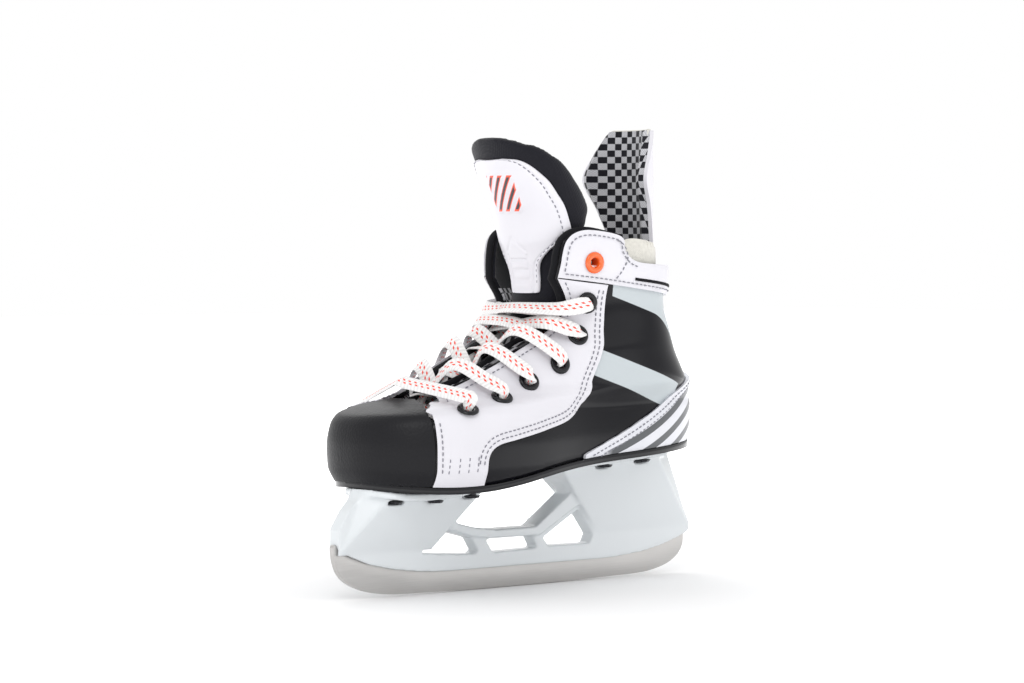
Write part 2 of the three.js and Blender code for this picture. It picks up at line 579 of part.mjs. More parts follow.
const STRAND_LIFT = 3.4;
function strand(startSide) {
  const route = [];
  let side = startSide;
  for (let row = 1; row < EYELET_ROW.length; row += 1) {
    const from = eyeletAt(side, row);
    route.push(...through(from), ...crossing(from, eyeletAt(-side, row + 1), startSide > 0 ? STRAND_LIFT : 0));
    side = -side;
  }
  route.push(...through(eyeletAt(side, EYELET_ROW.length)));
  return route;
}

function tube(points, radius, sideCount = 6) {
  const rings = [];
  let up = new THREE.Vector3(0, 0, 1);
  points.forEach((point, i) => {
    const before = points[Math.max(0, i - 1)];
    const after = points[Math.min(points.length - 1, i + 1)];
    const along = after.clone().sub(before).normalize();
    up = up.clone().addScaledVector(along, -up.dot(along)).normalize();
    const right = up.clone().cross(along);
    rings.push(Array.from({ length: sideCount }, (_, k) => {
      const a = (2 * Math.PI * k) / sideCount;
      return point.clone().addScaledVector(right, radius * Math.cos(a)).addScaledVector(up, radius * Math.sin(a));
    }));
  });
  return loft(rings);
}
const BAR_RISE = 2.6;
function barHalf(side) {
  const spot = rowSpot(side, 1);
  const edge = beyondThroat(spot, 0, EDGE.beyond);
  return [offNormal(eyeletAt(side, 1), aboveFlange + BAR_RISE), offSkin(side, ...edge, aboveFlange + BAR_RISE / 2)];
}
const bar = [...barHalf(-1), ...barHalf(1).reverse()];
const lowerStrand = strand(-1).reverse();
const upperStrand = strand(1);
const laceRoute = [...lowerStrand, ...bar, ...upperStrand];
const laceRoom = toSolid(tube(laceRoute, LACE_RADIUS + 2 * GAP));
const grooved = (solid) => solid.subtract(laceRoom);

// ---- boot shells ---------------------------------------------------------------------------------------------------
const shellLayer = layer(-SHELL_WALL, 0);
const linerLayer = layer(linerInner, linerOuter);
const padLayer = layer(linerOuter - PAD_WALL, linerOuter);
const overlayLayer = layer(OVERLAY_GAP, overlayOuter);
const openTop = boot([...THROAT, ...COLLAR_TOP]).reverse();

const capPlan = [[-120, -60], [CAP_EDGE, -60], [CAP_EDGE, -30], [CAP_EDGE + 4, -22], [CAP_EDGE + 9, -12],
  [CAP_EDGE + 10.5, 0], [CAP_EDGE + 9, 14], [CAP_EDGE + 4, 26], [CAP_EDGE, 34], [CAP_EDGE, 60], [-120, 60]]
  .map(([x, y]) => [bootX(x), y * WIDTH_GRADE]);
const capSide = [...seat(bootX(-106), bootX(-60)), [bootX(-60), top], [bootX(-106), top]];
const toeCap = layer(-SHELL_WALL, CAP_PROUD).intersect(planPrism(capPlan, 0, top)).intersect(sidePrism(capSide, -60, 60));
add('toe_cap', toeCap, CAP_BLACK, SMOOTHING);

const capGrown = planPrism(capPlan.map(([x, y]) => [x + (x > bootX(-119) ? GAP : 0), y]), 0, top);
for (const [place, side] of Object.entries(sides)) {
  const shell = [...seat(bootX(-106), far), [far, bootZ(154)], ...openTop, [bootX(-106), bootZ(91.2)]];
  const quarter = grooved(punched(shellLayer.intersect(halfSpan(side, shell)).subtract(capGrown), side));
  add(`quarter_${place}`, quarter, PATENT_BLACK, SMOOTHING);

  const facing = [...seat(bootX(CAP_EDGE + GAP), bootX(-52)), ...boot(FACING_EDGE).reverse(),
    ...boot([[3.5, 148]].map(([x, z]) => [x, z - GAP])), ...boot(THROAT.slice(0, -1)).reverse(), [bootX(CAP_EDGE + GAP), bootZ(91.2)]];
  const facingBody = overlayLayer.intersect(halfSpan(side, facing)).subtract(capGrown);
  add(`facing_${place}`, spotFaced(punched(facingBody, side), side), LEATHER_WHITE, SMOOTHING);

  const collar = [...boot(COLLAR_SEAM).map(([x, z]) => [x, z + GAP]), [far, bootZ(137)], [far, bootZ(154)],
    ...boot(COLLAR_TOP).reverse()];
  const collarBody = overlayLayer.intersect(halfSpan(side, collar));
  add(`collar_${place}`, spotFaced(punched(collarBody, side), side), LEATHER_WHITE, SMOOTHING);

  const padSide = boot([[26, 120], [70, 120], [71, 158], [69, 164.5], [60, 167], [44, 167], [40, 150], [30, 140]]);
  add(`ankle_pad_${place}`, padLayer.intersect(halfSpan(side, padSide)), FOAM_CREAM, SMOOTHING);

  const linerSide = [...seat(bootX(-106), far), [far, bootZ(153)], ...boot([[72, 153], [71, 118.8], [24.8, 118.8],
    [28.6, 140.4], [38.8, 150.6], [37.5, 167], [21, 170.4], [12, 169.4], [7.6, 165.6]]), ...boot(THROAT).reverse(),
  [bootX(-106), bootZ(91.2)]];
  const liner = grooved(punched(linerLayer.intersect(halfSpan(side, linerSide)), side));
  add(`liner_${place}`, liner, LINER_CHECK, SMOOTHING);
}
const wrapSide = [...seat(bootX(14), far), [far, bootZ(107)], ...aboveSeat(HEEL_WRAP_EDGE)];
add('heel_wrap', overlayLayer.intersect(sidePrism(wrapSide, -60, 60)), LEATHER_WHITE, SMOOTHING);

// ---- eyelets -----------------------------------------------------------------------------------------------------------
const eyeletProfile = [
  [EYELET_BORE_RADIUS, -BARREL_DEPTH], [EYELET_BARREL_RADIUS, -BARREL_DEPTH], [EYELET_BARREL_RADIUS, seatHeight],
  [EYELET_FLANGE_RADIUS, seatHeight + 0.3], [EYELET_FLANGE_RADIUS - 1, seatHeight + EYELET_FLANGE_HEIGHT],
  [EYELET_BORE_RADIUS, seatHeight + 0.6], [EYELET_BORE_RADIUS, -BARREL_DEPTH],
].map(([r, h]) => new THREE.Vector2(r, h));
for (const { place, row, centre, normal, collar } of eyelets) {
  const name = collar ? `eyelet_top_${place}` : `eyelet_${row}_${place}`;
  const ring = alongNormal(new THREE.LatheGeometry(eyeletProfile, 8), centre, normal);
  add(name, ring, collar ? EYELET_ORANGE : EYELET_BLACK);
}

// ---- tongue: a bowed pad swept up the instep, split at the fold ------------------------------------------------------------
const BOW_STEPS = 7;

function bowRing(row, direction, depth, proud, spread) {
  const [x, z, radius, half] = row;
  const normal = new THREE.Vector3(-direction.z, 0, direction.x);
  const ring = [];
  const arc = (r) => Array.from({ length: BOW_STEPS + 1 }, (_, i) => {
    const a = THREE.MathUtils.degToRad(half * spread) * (1 - (2 * i) / BOW_STEPS);
    return new THREE.Vector3(bootX(x), 0, bootZ(z))
      .addScaledVector(normal, r * Math.cos(a) - radius)
      .add(new THREE.Vector3(0, r * Math.sin(a), 0));
  });
  ring.push(...arc(radius + proud), ...arc(radius - depth).reverse());
  return ring;
}

function bowed(rows, depth, proud, spread = 1, [first, end] = [0, rows.length]) {
  const rings = rows.map((row, i) => {
    const before = rows[Math.max(0, i - 1)];
    const after = rows[Math.min(rows.length - 1, i + 1)];
    const direction = new THREE.Vector3(after[0] - before[0], 0, after[1] - before[1]).normalize();
    return bowRing(row, direction, depth, proud, spread);
  });
  return loft(rings.slice(first, end), true);
}
const laceClose = toSolid(tube(laceRoute, LACE_RADIUS + GAP));
const tongueLower = grooved(toSolid(bowed(TONGUE_LOWER, TONGUE_THICKNESS, 0))).subtract(laceClose);
add('tongue_lower', tongueLower, TONGUE_BLACK, SMOOTHING);
add('tongue_upper', bowed(TONGUE_UPPER, TONGUE_THICKNESS, 0), TONGUE_BLACK);
const PANEL_GAP = 2 * GAP;
const PANEL_SPREAD = 0.6;
const PANEL_ROWS = [1, 8];
add('tongue_panel', bowed(TONGUE_UPPER, -PANEL_GAP, PANEL_GAP + TONGUE_PANEL_THICKNESS, PANEL_SPREAD, PANEL_ROWS), LEATHER_WHITE);

// ---- tendon guard: a bowed plate on the collar's back, flexing about its root ---------------------------------------------------
// height, back of the plate, bow radius, half angle of the bow in degrees
const GUARD_ROWS = [[157.5, 83.4, 22, 46], [168, 82.6, 22, 50], [182, 82, 23.5, 60], [196, 81.6, 25, 72], [208, 81.4, 25, 60],
  [216, 81.6, 25, 48], [220.5, 81.8, 25, 38]];

function guardSkin(outer, inner) {
  const rings = GUARD_ROWS.map(([z, back, radius, half]) => {
    const arc = (r) => Array.from({ length: BOW_STEPS + 1 }, (_, i) => {
      const a = THREE.MathUtils.degToRad(half) * (1 - (2 * i) / BOW_STEPS);
      return new THREE.Vector3(bootX(back) - radius + r * Math.cos(a), r * Math.sin(a), bootZ(z));
    });
    return [...arc(radius - outer).reverse(), ...arc(radius - inner)];
  });
  return loft(rings, true);
}
add('tendon_guard', guardSkin(0, GUARD_SHELL), LEATHER_WHITE);
const liningDepth = GUARD_SHELL + GUARD_GAP;
add('tendon_guard_lining', guardSkin(liningDepth, liningDepth + GUARD_LINING), LINER_CHECK);

// ---- lace, with both ends folded away inside the boot, folded away inside the boot ---------------------------------------------
add('lace', tube(laceRoute, LACE_RADIUS), LACE_WHITE);

// The hank lies on the footbed's heel seat; each end runs down to it inside the boot.
const HANK = { x0: 32, x1: 84, halfWidth: 9, height: 13 };
const hankFloor = Math.max(soleAt(bootX(HANK.x0)), soleAt(bootX(HANK.x1))) + footbedBase + FOOTBED_THICKNESS + GAP;
const hankEnd = HANK.height / 2;
const hankMid = hankFloor + hankEnd;
const hankOutline = [];
for (let i = 0; i <= 6; i += 1) {
  const a = Math.PI / 2 + (Math.PI * i) / 6;
  hankOutline.push([bootX(HANK.x0) + hankEnd + hankEnd * Math.cos(a), hankMid + hankEnd * Math.sin(a)]);
}
for (let i = 0; i <= 6; i += 1) {
  const a = -Math.PI / 2 + (Math.PI * i) / 6;
  hankOutline.push([bootX(HANK.x1) - hankEnd + hankEnd * Math.cos(a), hankMid + hankEnd * Math.sin(a)]);
}
add('lace_hank', sidePrism(hankOutline, -HANK.halfWidth, HANK.halfWidth), LACE_WHITE);
const tieX = bootX((HANK.x0 + HANK.x1) / 2);
const TIE = { half: 3, wall: 1 };
const block = (x, halfX, halfY, z0, z1) => sidePrism([[x - halfX, z0], [x + halfX, z0], [x + halfX, z1], [x - halfX, z1]], -halfY, halfY);
const tieHole = block(tieX, TIE.half + 1, HANK.halfWidth + GAP, hankFloor - GAP, hankFloor + HANK.height + GAP);
const tieBand = block(tieX, TIE.half, HANK.halfWidth + GAP + TIE.wall, hankFloor + 2, hankFloor + HANK.height + GAP + TIE.wall);
add('lace_tie', tieBand.subtract(tieHole), EYELET_BLACK);
const AGLET = { radius: 1.3, length: 18 };
for (const [place, side] of Object.entries(sides)) {
  const start = offNormal(eyeletAt(side, EYELET_ROW.length), laceInside - 2.6 * LACE_RADIUS);
  const drop = [[27, 128, 20], [34, 112, 17], [36, 100, 13], [31, 90, 8]]
    .map(([x, z, y]) => new THREE.Vector3(bootX(x), y * side, bootZ(z)));
  const into = new THREE.Vector3(bootX(HANK.x0) - GAP, 4.5 * side, hankMid);
  add(`lace_end_${place}`, tube([start, ...drop, into.clone().add(new THREE.Vector3(-4, 0, 1)), into], LACE_RADIUS), LACE_WHITE);
  const aglet = new THREE.CylinderGeometry(AGLET.radius, AGLET.radius, AGLET.length, 8).rotateZ(Math.PI / 2);
  aglet.translate(bootX(HANK.x1) - 12.5, 4 * side, hankFloor + HANK.height + GAP + AGLET.radius);
  add(`aglet_${place}`, aglet, AGLET_CLEAR);
}

export default skate;
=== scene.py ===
"""Youth ice-hockey skate: the looks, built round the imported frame.

Lengths in the pattern tables are millimetres, as a pattern cutter drafts them; meshes are in metres.
Toe towards -X, lateral side towards -Y, +Z up, as in the frame.
"""

import json  # noqa: E402
import logging  # noqa: E402
import math  # noqa: E402
from dataclasses import dataclass, field  # noqa: E402
from enum import Enum  # noqa: E402
from typing import Iterable, Sequence  # noqa: E402

import bpy  # noqa: E402
import numpy as np  # noqa: E402
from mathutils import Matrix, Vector  # noqa: E402
from mathutils.geometry import delaunay_2d_cdt  # noqa: E402

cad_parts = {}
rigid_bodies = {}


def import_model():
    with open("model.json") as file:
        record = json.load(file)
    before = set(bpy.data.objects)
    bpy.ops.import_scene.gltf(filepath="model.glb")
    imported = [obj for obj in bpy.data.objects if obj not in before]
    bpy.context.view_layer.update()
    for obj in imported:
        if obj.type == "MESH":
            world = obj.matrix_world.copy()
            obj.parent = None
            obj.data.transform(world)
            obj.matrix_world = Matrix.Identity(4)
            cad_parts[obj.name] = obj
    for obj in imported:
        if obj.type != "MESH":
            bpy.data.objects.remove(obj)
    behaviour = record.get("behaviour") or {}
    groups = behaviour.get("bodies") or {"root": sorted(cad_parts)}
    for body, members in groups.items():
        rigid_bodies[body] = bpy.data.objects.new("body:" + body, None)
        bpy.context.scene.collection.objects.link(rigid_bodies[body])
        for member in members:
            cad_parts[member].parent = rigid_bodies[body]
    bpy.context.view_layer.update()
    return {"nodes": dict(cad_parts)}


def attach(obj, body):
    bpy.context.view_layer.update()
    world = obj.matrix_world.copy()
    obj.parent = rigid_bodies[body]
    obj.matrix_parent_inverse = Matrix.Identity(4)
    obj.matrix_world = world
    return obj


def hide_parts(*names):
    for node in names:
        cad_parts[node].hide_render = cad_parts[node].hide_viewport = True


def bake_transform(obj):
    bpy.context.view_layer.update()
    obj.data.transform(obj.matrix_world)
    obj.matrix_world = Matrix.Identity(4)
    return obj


LOG = logging.getLogger("skate")
MM = 0.001
Pairs = Sequence[Sequence[float]]


class Side(Enum):
    """The two sides of a left boot, by the sign of Y."""

    LATERAL = -1
    MEDIAL = 1


# ---- shader maths -----------------------------------------------------------------------------------


class Shader:
    """One material's node tree."""

    def __init__(self, name: str) -> None:
        """Start a material with a principled shader."""
        self.material = bpy.data.materials.new(name)
        self.material.use_nodes = True
        self.tree = self.material.node_tree
        self.surface = self.tree.nodes["Principled BSDF"]

    def node(self, kind: str, inputs: dict, out: int | str = 0, **settings: object) -> "Wire":
        """Add a node.

        Args:
            kind: the node's type.
            inputs: values or wires by socket name or number.
            out: which output to hand back.
            settings: node settings, set before the sockets.

        Returns:
            The chosen output, ready for sums.
        """
        made = self.tree.nodes.new(kind)
        stops = settings.pop("stops", None)
        for key, value in settings.items():
            setattr(made, key, value)
        if stops:
            ramp = made.color_ramp
            while len(ramp.elements) < len(stops):
                ramp.elements.new(0.5)
            for element, (place, shade) in zip(ramp.elements, stops):
                element.position = place
                element.color = shade
        for key, value in inputs.items():
            self.plug(value, made.inputs[key])
        return Wire(self, made.outputs[out])

    def plug(self, value: object, socket: bpy.types.NodeSocket) -> None:
        """Link a wire to a socket, or set a plain value on it."""
        if isinstance(value, Wire):
            self.tree.links.new(value.socket, socket)
        else:
            socket.default_value = value

    def put(self, **sockets: object) -> None:
        """Set the surface shader's sockets, with underscores for the spaces in their names."""
        for key, value in sockets.items():
            self.plug(value, self.surface.inputs[key.replace("_", " ")])

    def place(self) -> tuple["Wire", "Wire", "Wire"]:
        """Object coordinates in millimetres, as three wires."""
        coords = self.node("ShaderNodeTexCoord", {}, "Object")
        split = self.node("ShaderNodeSeparateXYZ", {0: coords}).socket.node
        return tuple(Wire(self, split.outputs[i]) * 1000.0 for i in range(3))

    def uv(self) -> tuple["Wire", "Wire"]:
        """The piece's own UV map in millimetres."""
        coords = self.node("ShaderNodeTexCoord", {}, "UV")
        split = self.node("ShaderNodeSeparateXYZ", {0: coords}).socket.node
        return Wire(self, split.outputs[0]) * 1000.0, Wire(self, split.outputs[1]) * 1000.0

    def noise(self, scale: float, detail: float = 3.0, stretch: Sequence[float] = (1, 1, 1)) -> "Wire":
        """Soft noise, scale in features per metre, squeezed along each axis by stretch."""
        coords = self.node("ShaderNodeTexCoord", {}, "Object")
        mapped = self.node("ShaderNodeMapping", {0: coords, 3: tuple(stretch)})
        return self.node("ShaderNodeTexNoise", {"Vector": mapped, "Scale": scale, "Detail": detail})

    def cells(self, scale: float, feature: str = "F1") -> "Wire":
        """Cell pattern, for leather grain."""
        coords = self.node("ShaderNodeTexCoord", {}, "Object")
        return self.node("ShaderNodeTexVoronoi", {"Vector": coords, "Scale": scale}, "Distance", feature=feature)

    def mix(self, factor: object, a: object, b: object) -> "Wire":
        """Blend two colours."""
        made = self.tree.nodes.new("ShaderNodeMix")
        made.data_type = "RGBA"
        self.plug(factor, made.inputs[0])
        for value, socket in ((a, made.inputs[6]), (b, made.inputs[7])):
            self.plug(value if isinstance(value, Wire) else (*value, 1.0), socket)
        return Wire(self, made.outputs[2])

    def bump(self, height: object, strength: float, distance: float) -> None:
        """Send a height in 0..1 to the surface's normal, distance in millimetres."""
        made = self.node("ShaderNodeBump", {"Height": height, "Strength": strength, "Distance": distance * MM})
        self.put(Normal=made)


@dataclass
class Wire:
    """An output socket that can be used in sums."""

    shader: Shader
    socket: bpy.types.NodeSocket

    def op(self, name: str, *others: object) -> "Wire":
        """Add a Math node over this wire and others."""
        inputs = dict(enumerate([self, *others]))
        return self.shader.node("ShaderNodeMath", inputs, operation=name)

    def __add__(self, other: object) -> "Wire":
        """Sum."""
        return self.op("ADD", other)

    __radd__ = __add__

    def __mul__(self, other: object) -> "Wire":
        """Product."""
        return self.op("MULTIPLY", other)

    __rmul__ = __mul__

    def __sub__(self, other: object) -> "Wire":
        """Difference."""
        return self.op("SUBTRACT", other)

    def __rsub__(self, other: float) -> "Wire":
        """Difference from a number."""
        return (self * -1.0) + other

    def step(self, edge: float, soft: float = 0.3) -> "Wire":
        """0 below the edge and 1 above it, over a soft border."""
        return ((self - edge) * (1.0 / soft) + 0.5).op("MAXIMUM", 0.0).op("MINIMUM", 1.0)

    def band(self, low: float, high: float, soft: float = 0.3) -> "Wire":
        """1 between two edges."""
        return self.step(low, soft) * (1 - self.step(high, soft))

    def beat(self, length: float, share: float) -> "Wire":
        """1 over the first share of every length, 0 over the rest."""
        phase = (self * (1.0 / length)).op("FRACT")
        return 1 - phase.step(share, 0.04)


# ---- finishes ----------------------------------------------------------------------------------------


@dataclass(frozen=True)
class WhiteLeather:
    """Coated white synthetic leather with a fine grain."""

    tint: tuple[float, float, float] = (0.67, 0.66, 0.70)
    grain: float = 1500.0

    def dress(self, name: str) -> Shader:
        """Build the material."""
        s = Shader(name)
        cloud = s.noise(55.0)
        s.put(Base_Color=s.mix(cloud, tuple(c * 0.94 for c in self.tint), self.tint))
        s.put(Roughness=s.noise(120.0) * 0.16 + 0.33, Specular_IOR_Level=0.45, Coat_Weight=0.12)
        s.bump(s.cells(self.grain) * 0.7 + s.noise(260.0) * 0.8, 0.22, 0.12)
        return s


@dataclass(frozen=True)
class PrintedLeather:
    """White tongue leather with slanted printed bars, dark with a warm edge."""

    dark: tuple[float, float, float] = (0.02, 0.022, 0.03)
    warm: tuple[float, float, float] = (0.80, 0.09, 0.04)

    def dress(self, name: str) -> Shader:
        """Build the material."""
        s = Shader(name)
        _, y, z = s.place()
        slant = (z + y * 1.3 + 70.0) * (1.0 / 7.0)
        phase = slant.op("FRACT") * 7.0
        inside_box = (y + 3.0).op("ABSOLUTE")
        outer = phase.band(0.1, 3.9, 0.15) * (1 - inside_box.step(8.5)) * z.band(180.0, 197.0)
        inner = phase.band(0.8, 3.2, 0.15) * (1 - inside_box.step(7.7)) * z.band(180.9, 196.1)
        white = s.mix(s.noise(55.0), (0.63, 0.62, 0.66), (0.67, 0.66, 0.70))
        s.put(Base_Color=s.mix(inner, s.mix(outer, white, self.warm), self.dark))
        s.put(Roughness=s.noise(120.0) * 0.16 + 0.33, Coat_Weight=0.12)
        s.bump(s.cells(1500.0) * 0.7 + s.noise(260.0) * 0.8, 0.22, 0.12)
        return s


@dataclass(frozen=True)
class PatentLeather:
    """Glossy black leather with a pale wedge under the collar and a pale slanting band."""

    black: tuple[float, float, float] = (0.003, 0.003, 0.005)
    pale: tuple[float, float, float] = (0.47, 0.51, 0.53)

    def dress(self, name: str) -> Shader:
        """Build the material."""
        s = Shader(name)
        x, _, z = s.place()
        band_top = z - (x * -0.34 + 122.9)
        band = band_top.band(-13.6, 0.0) * x.band(22.0, 78.5)
        droop = (x - 60.0).op("MAXIMUM", 0.0)
        wedge = (z - (x * -0.33 - droop * droop * 0.028 + 150.9)).step(0.0) * x.step(34.5)
        mask = band.op("MAXIMUM", wedge)
        s.put(Base_Color=s.mix(mask, self.black, self.pale))
        s.put(Roughness=s.noise(60.0) * 0.08 + 0.12 + mask * 0.16, Specular_IOR_Level=0.22)
        s.bump(s.noise(34.0, 2.0) * 1.0 + s.noise(900.0) * 0.06, 0.35, 0.5)
        return s


@dataclass(frozen=True)
class HeelLeather:
    """White heel wrap with dark curved stripes swept forward and down."""

    dark: tuple[float, float, float] = (0.055, 0.06, 0.068)

    def dress(self, name: str) -> Shader:
        """Build the material."""
        s = Shader(name)
        x, _, z = s.place()
        sweep = z - (x * 0.46 + (x - 60.0) * (x - 60.0) * 0.0022 + 37.0)
        stripes = sweep.beat(9.0, 0.42) * sweep.band(-26.0, 16.0) * x.step(30.0, 6.0)
        white = s.mix(s.noise(60.0), (0.60, 0.61, 0.66), (0.67, 0.67, 0.71))
        s.put(Base_Color=s.mix(stripes, white, self.dark))
        s.put(Roughness=s.noise(120.0) * 0.12 + 0.28, Coat_Weight=0.2)
        s.bump(s.cells(1500.0) * 0.6 + s.noise(200.0) * 0.8, 0.2, 0.12)
        return s


@dataclass(frozen=True)
class Moulding:
    """A moulded plastic, smooth or pebbled."""

    tint: tuple[float, float, float]
    rough: float
    pebble: float = 0.0
    coat: float = 0.0

    def dress(self, name: str) -> Shader:
        """Build the material."""
        s = Shader(name)
        s.put(Base_Color=s.mix(s.noise(40.0), tuple(c * 0.97 for c in self.tint), self.tint))
        s.put(Roughness=s.noise(160.0) * 0.08 + (self.rough - 0.06), Coat_Weight=self.coat)
        s.put(Specular_IOR_Level=0.2 if max(self.tint) < 0.1 else 0.45)
        s.bump(s.cells(900.0) * self.pebble + s.noise(45.0, 2.0) * 0.12, 0.3, 0.3)
        return s


@dataclass(frozen=True)
class Metal:
    """Ground or plated metal with fine marks along the grinding direction."""

    tint: tuple[float, float, float]
    rough: float
    marks: tuple[float, float, float] = (6.0, 300.0, 420.0)

    def dress(self, name: str) -> Shader:
        """Build the material."""
        s = Shader(name)
        lines = s.noise(9.0, 4.0, self.marks)
        patches = s.noise(22.0, 3.0)
        s.put(Base_Color=s.mix(lines * 0.6 + patches * 0.4, tuple(c * 0.62 for c in self.tint), self.tint))
        s.put(Metallic=1.0, Roughness=lines * 0.22 + (self.rough - 0.08))
        s.bump(lines, 0.25, 0.05)
        return s


@dataclass(frozen=True)
class Fabric:
    """Brushed or woven cloth in one shade."""

    tint: tuple[float, float, float]
    pitch: float = 0.8
    sheen: float = 0.3

    def dress(self, name: str) -> Shader:
        """Build the material."""
        s = Shader(name)
        x, y, z = s.place()
        weave = ((x + y) * (6.283 / self.pitch)).op("SINE") * (z * (6.283 / self.pitch)).op("SINE")
        fuzz = s.noise(700.0)
        s.put(Base_Color=s.mix(fuzz, tuple(c * 0.7 for c in self.tint), self.tint))
        s.put(Roughness=fuzz * 0.1 + 0.85, Sheen_Weight=self.sheen, Specular_IOR_Level=0.2)
        s.bump(weave * 0.25 + fuzz, 0.5, 0.3)
        return s


@dataclass(frozen=True)
class CheckCloth:
    """Black and grey woven check, laid by the piece's own UV map."""

    square: float = 3.2
    black_from: float = 1000.0
    level: bool = False
    light: tuple[float, float, float] = (0.60, 0.60, 0.63)
    dark: tuple[float, float, float] = (0.006, 0.006, 0.010)

    def dress(self, name: str) -> Shader:
        """Build the material."""
        s = Shader(name)
        x, y, z = s.place()
        u, v = (y, x * 0.86 + z * 0.5) if self.level else s.uv()
        a = u.beat(self.square * 2.0, 0.5)
        b = v.beat(self.square * 2.0, 0.5)
        check = (a - b).op("ABSOLUTE")
        threads = (u * 7.0).op("SINE") * (v * 7.0).op("SINE")
        shade = check * (threads * 0.25 + 0.75) * (1 - z.step(self.black_from))
        s.put(Base_Color=s.mix(shade, self.dark, self.light), Roughness=s.noise(500.0) * 0.1 + 0.82)
        s.put(Sheen_Weight=0.2, Specular_IOR_Level=0.2)
        s.bump(threads * 0.5 + 0.5, 0.4, 0.25)
        return s


@dataclass(frozen=True)
class LaceBraid:
    """White flat braid with dashed red tracer threads, laid by UV: along, then across in -1..1."""

    tracer: tuple[float, float, float] = (0.78, 0.07, 0.035)

    def dress(self, name: str) -> Shader:
        """Build the material."""
        s = Shader(name)
        u, v = s.uv()
        lines = v.op("ABSOLUTE").band(0.10, 0.34, 0.05)
        dash = (u + v * 4.0).beat(3.6, 0.42)
        herring = ((u * 3.1 + v.op("ABSOLUTE") * 5.0).op("SINE") * 0.5 + 0.5) * 0.8
        white = s.mix(herring, (0.70, 0.69, 0.69), (0.86, 0.85, 0.84))
        s.put(Base_Color=s.mix(lines * dash, white, self.tracer), Roughness=herring * 0.1 + 0.8)
        s.put(Sheen_Weight=0.25, Specular_IOR_Level=0.25)
        s.bump(herring + s.noise(900.0) * 0.4, 0.55, 0.35)
        return s


# ---- mesh helpers ------------------------------------------------------------------------------------


def deselect() -> None:
    """Clear the selection."""
    for o in bpy.context.view_layer.objects:
        o.select_set(False)


def activate(piece: bpy.types.Object) -> None:
    """Make a piece the only selected and the active one."""
    deselect()
    piece.select_set(True)
    bpy.context.view_layer.objects.active = piece


def mesh_piece(name: str, points: np.ndarray, faces: Iterable[Sequence[int]]) -> bpy.types.Object:
    """Make a mesh object from points in millimetres."""
    mesh = bpy.data.meshes.new(name)
    mesh.from_pydata((np.asarray(points) * MM).tolist(), [], [list(map(int, f)) for f in faces])
    mesh.update()
    piece = bpy.data.objects.new(name, mesh)
    bpy.context.scene.collection.objects.link(piece)
    return piece


def finish_with(piece: bpy.types.Object, kind: str, **settings: object) -> None:
    """Add a modifier, set it and apply it."""
    activate(piece)
    made = piece.modifiers.new(kind.title(), kind)
    for key, value in settings.items():
        setattr(made, key, value)
    bpy.ops.object.modifier_apply(modifier=made.name)


def ease_edges(piece: bpy.types.Object, width: float) -> None:
    """Round off a piece's sharp edges."""
    finish_with(piece, "BEVEL", width=width * MM, segments=2, limit_method="ANGLE", angle_limit=math.radians(50))


def smooth(piece: bpy.types.Object, degrees: float = 40.0) -> None:
    """Shade smooth below an angle."""
    activate(piece)
    bpy.ops.object.shade_smooth_by_angle(angle=math.radians(degrees))


def outward(piece: bpy.types.Object) -> None:
    """Merge doubles and turn every face of a closed piece outwards."""
    activate(piece)
    bpy.ops.object.mode_set(mode="EDIT")
    bpy.ops.mesh.select_all(action="SELECT")
    bpy.ops.mesh.remove_doubles(threshold=1e-5)
    bpy.ops.mesh.normals_make_consistent(inside=False)
    bpy.ops.object.mode_set(mode="OBJECT")


def wear(piece: bpy.types.Object, look: Shader) -> None:
    """Give a piece one material."""
    piece.data.materials.clear()
    piece.data.materials.append(look.material)


def place(piece: bpy.types.Object, body: str, slot: str, nodes: Sequence[str] = ()) -> None:
    """Ride a piece on a body, hide the CAD nodes it stands for, and log it."""
    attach(piece, body)
    if nodes:
        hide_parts(*nodes)
    LOG.info("%s rides on %s", piece.name, body)


def rounded_line(points: Pairs, step: float = 1.2) -> np.ndarray:
    """A smooth line through the points, sampled about every step."""
    p = np.asarray(points, float)
    ends = np.vstack([2 * p[0] - p[1], p, 2 * p[-1] - p[-2]])
    out = []
    for i in range(len(p) - 1):
        a, b, c, d = ends[i : i + 4]
        count = max(2, int(np.linalg.norm(c - b) / step))
        t = np.linspace(0, 1, count, endpoint=False)[:, None]
        bend, twist = 2 * a - 5 * b + 4 * c - d, 3 * b - a - 3 * c + d
        out.append(0.5 * (2 * b + (c - a) * t + bend * t**2 + twist * t**3))
    return np.vstack([*out, p[-1:]])


def straight_line(points: Pairs, step: float = 1.2) -> np.ndarray:
    """A polyline sampled about every step."""
    p = np.asarray(points, float)
    out = []
    for a, b in zip(p[:-1], p[1:]):
        count = max(1, int(np.linalg.norm(b - a) / step))
        out.append(a + (b - a) * np.linspace(0, 1, count, endpoint=False)[:, None])
    return np.vstack([*out, p[-1:]])


def inside(points: np.ndarray, loop: np.ndarray) -> np.ndarray:
    """Which points lie inside a closed loop."""
    x, y = points[:, 0], points[:, 1]
    hit = np.zeros(len(points), bool)
    for (x0, y0), (x1, y1) in zip(loop, np.roll(loop, -1, axis=0)):
        cross = ((y0 > y) != (y1 > y)) & (x < (x1 - x0) * (y - y0) / (y1 - y0 + 1e-12) + x0)
        hit ^= cross
    return hit


def away(points: np.ndarray, line: np.ndarray) -> np.ndarray:
    """Distance of each point from the nearest point of a line."""
    best = np.full(len(points), 1e9)
    for start in range(0, len(line), 64):
        piece = line[start : start + 64]
        best = np.minimum(best, np.linalg.norm(points[:, None] - piece[None], axis=2).min(1))
    return best


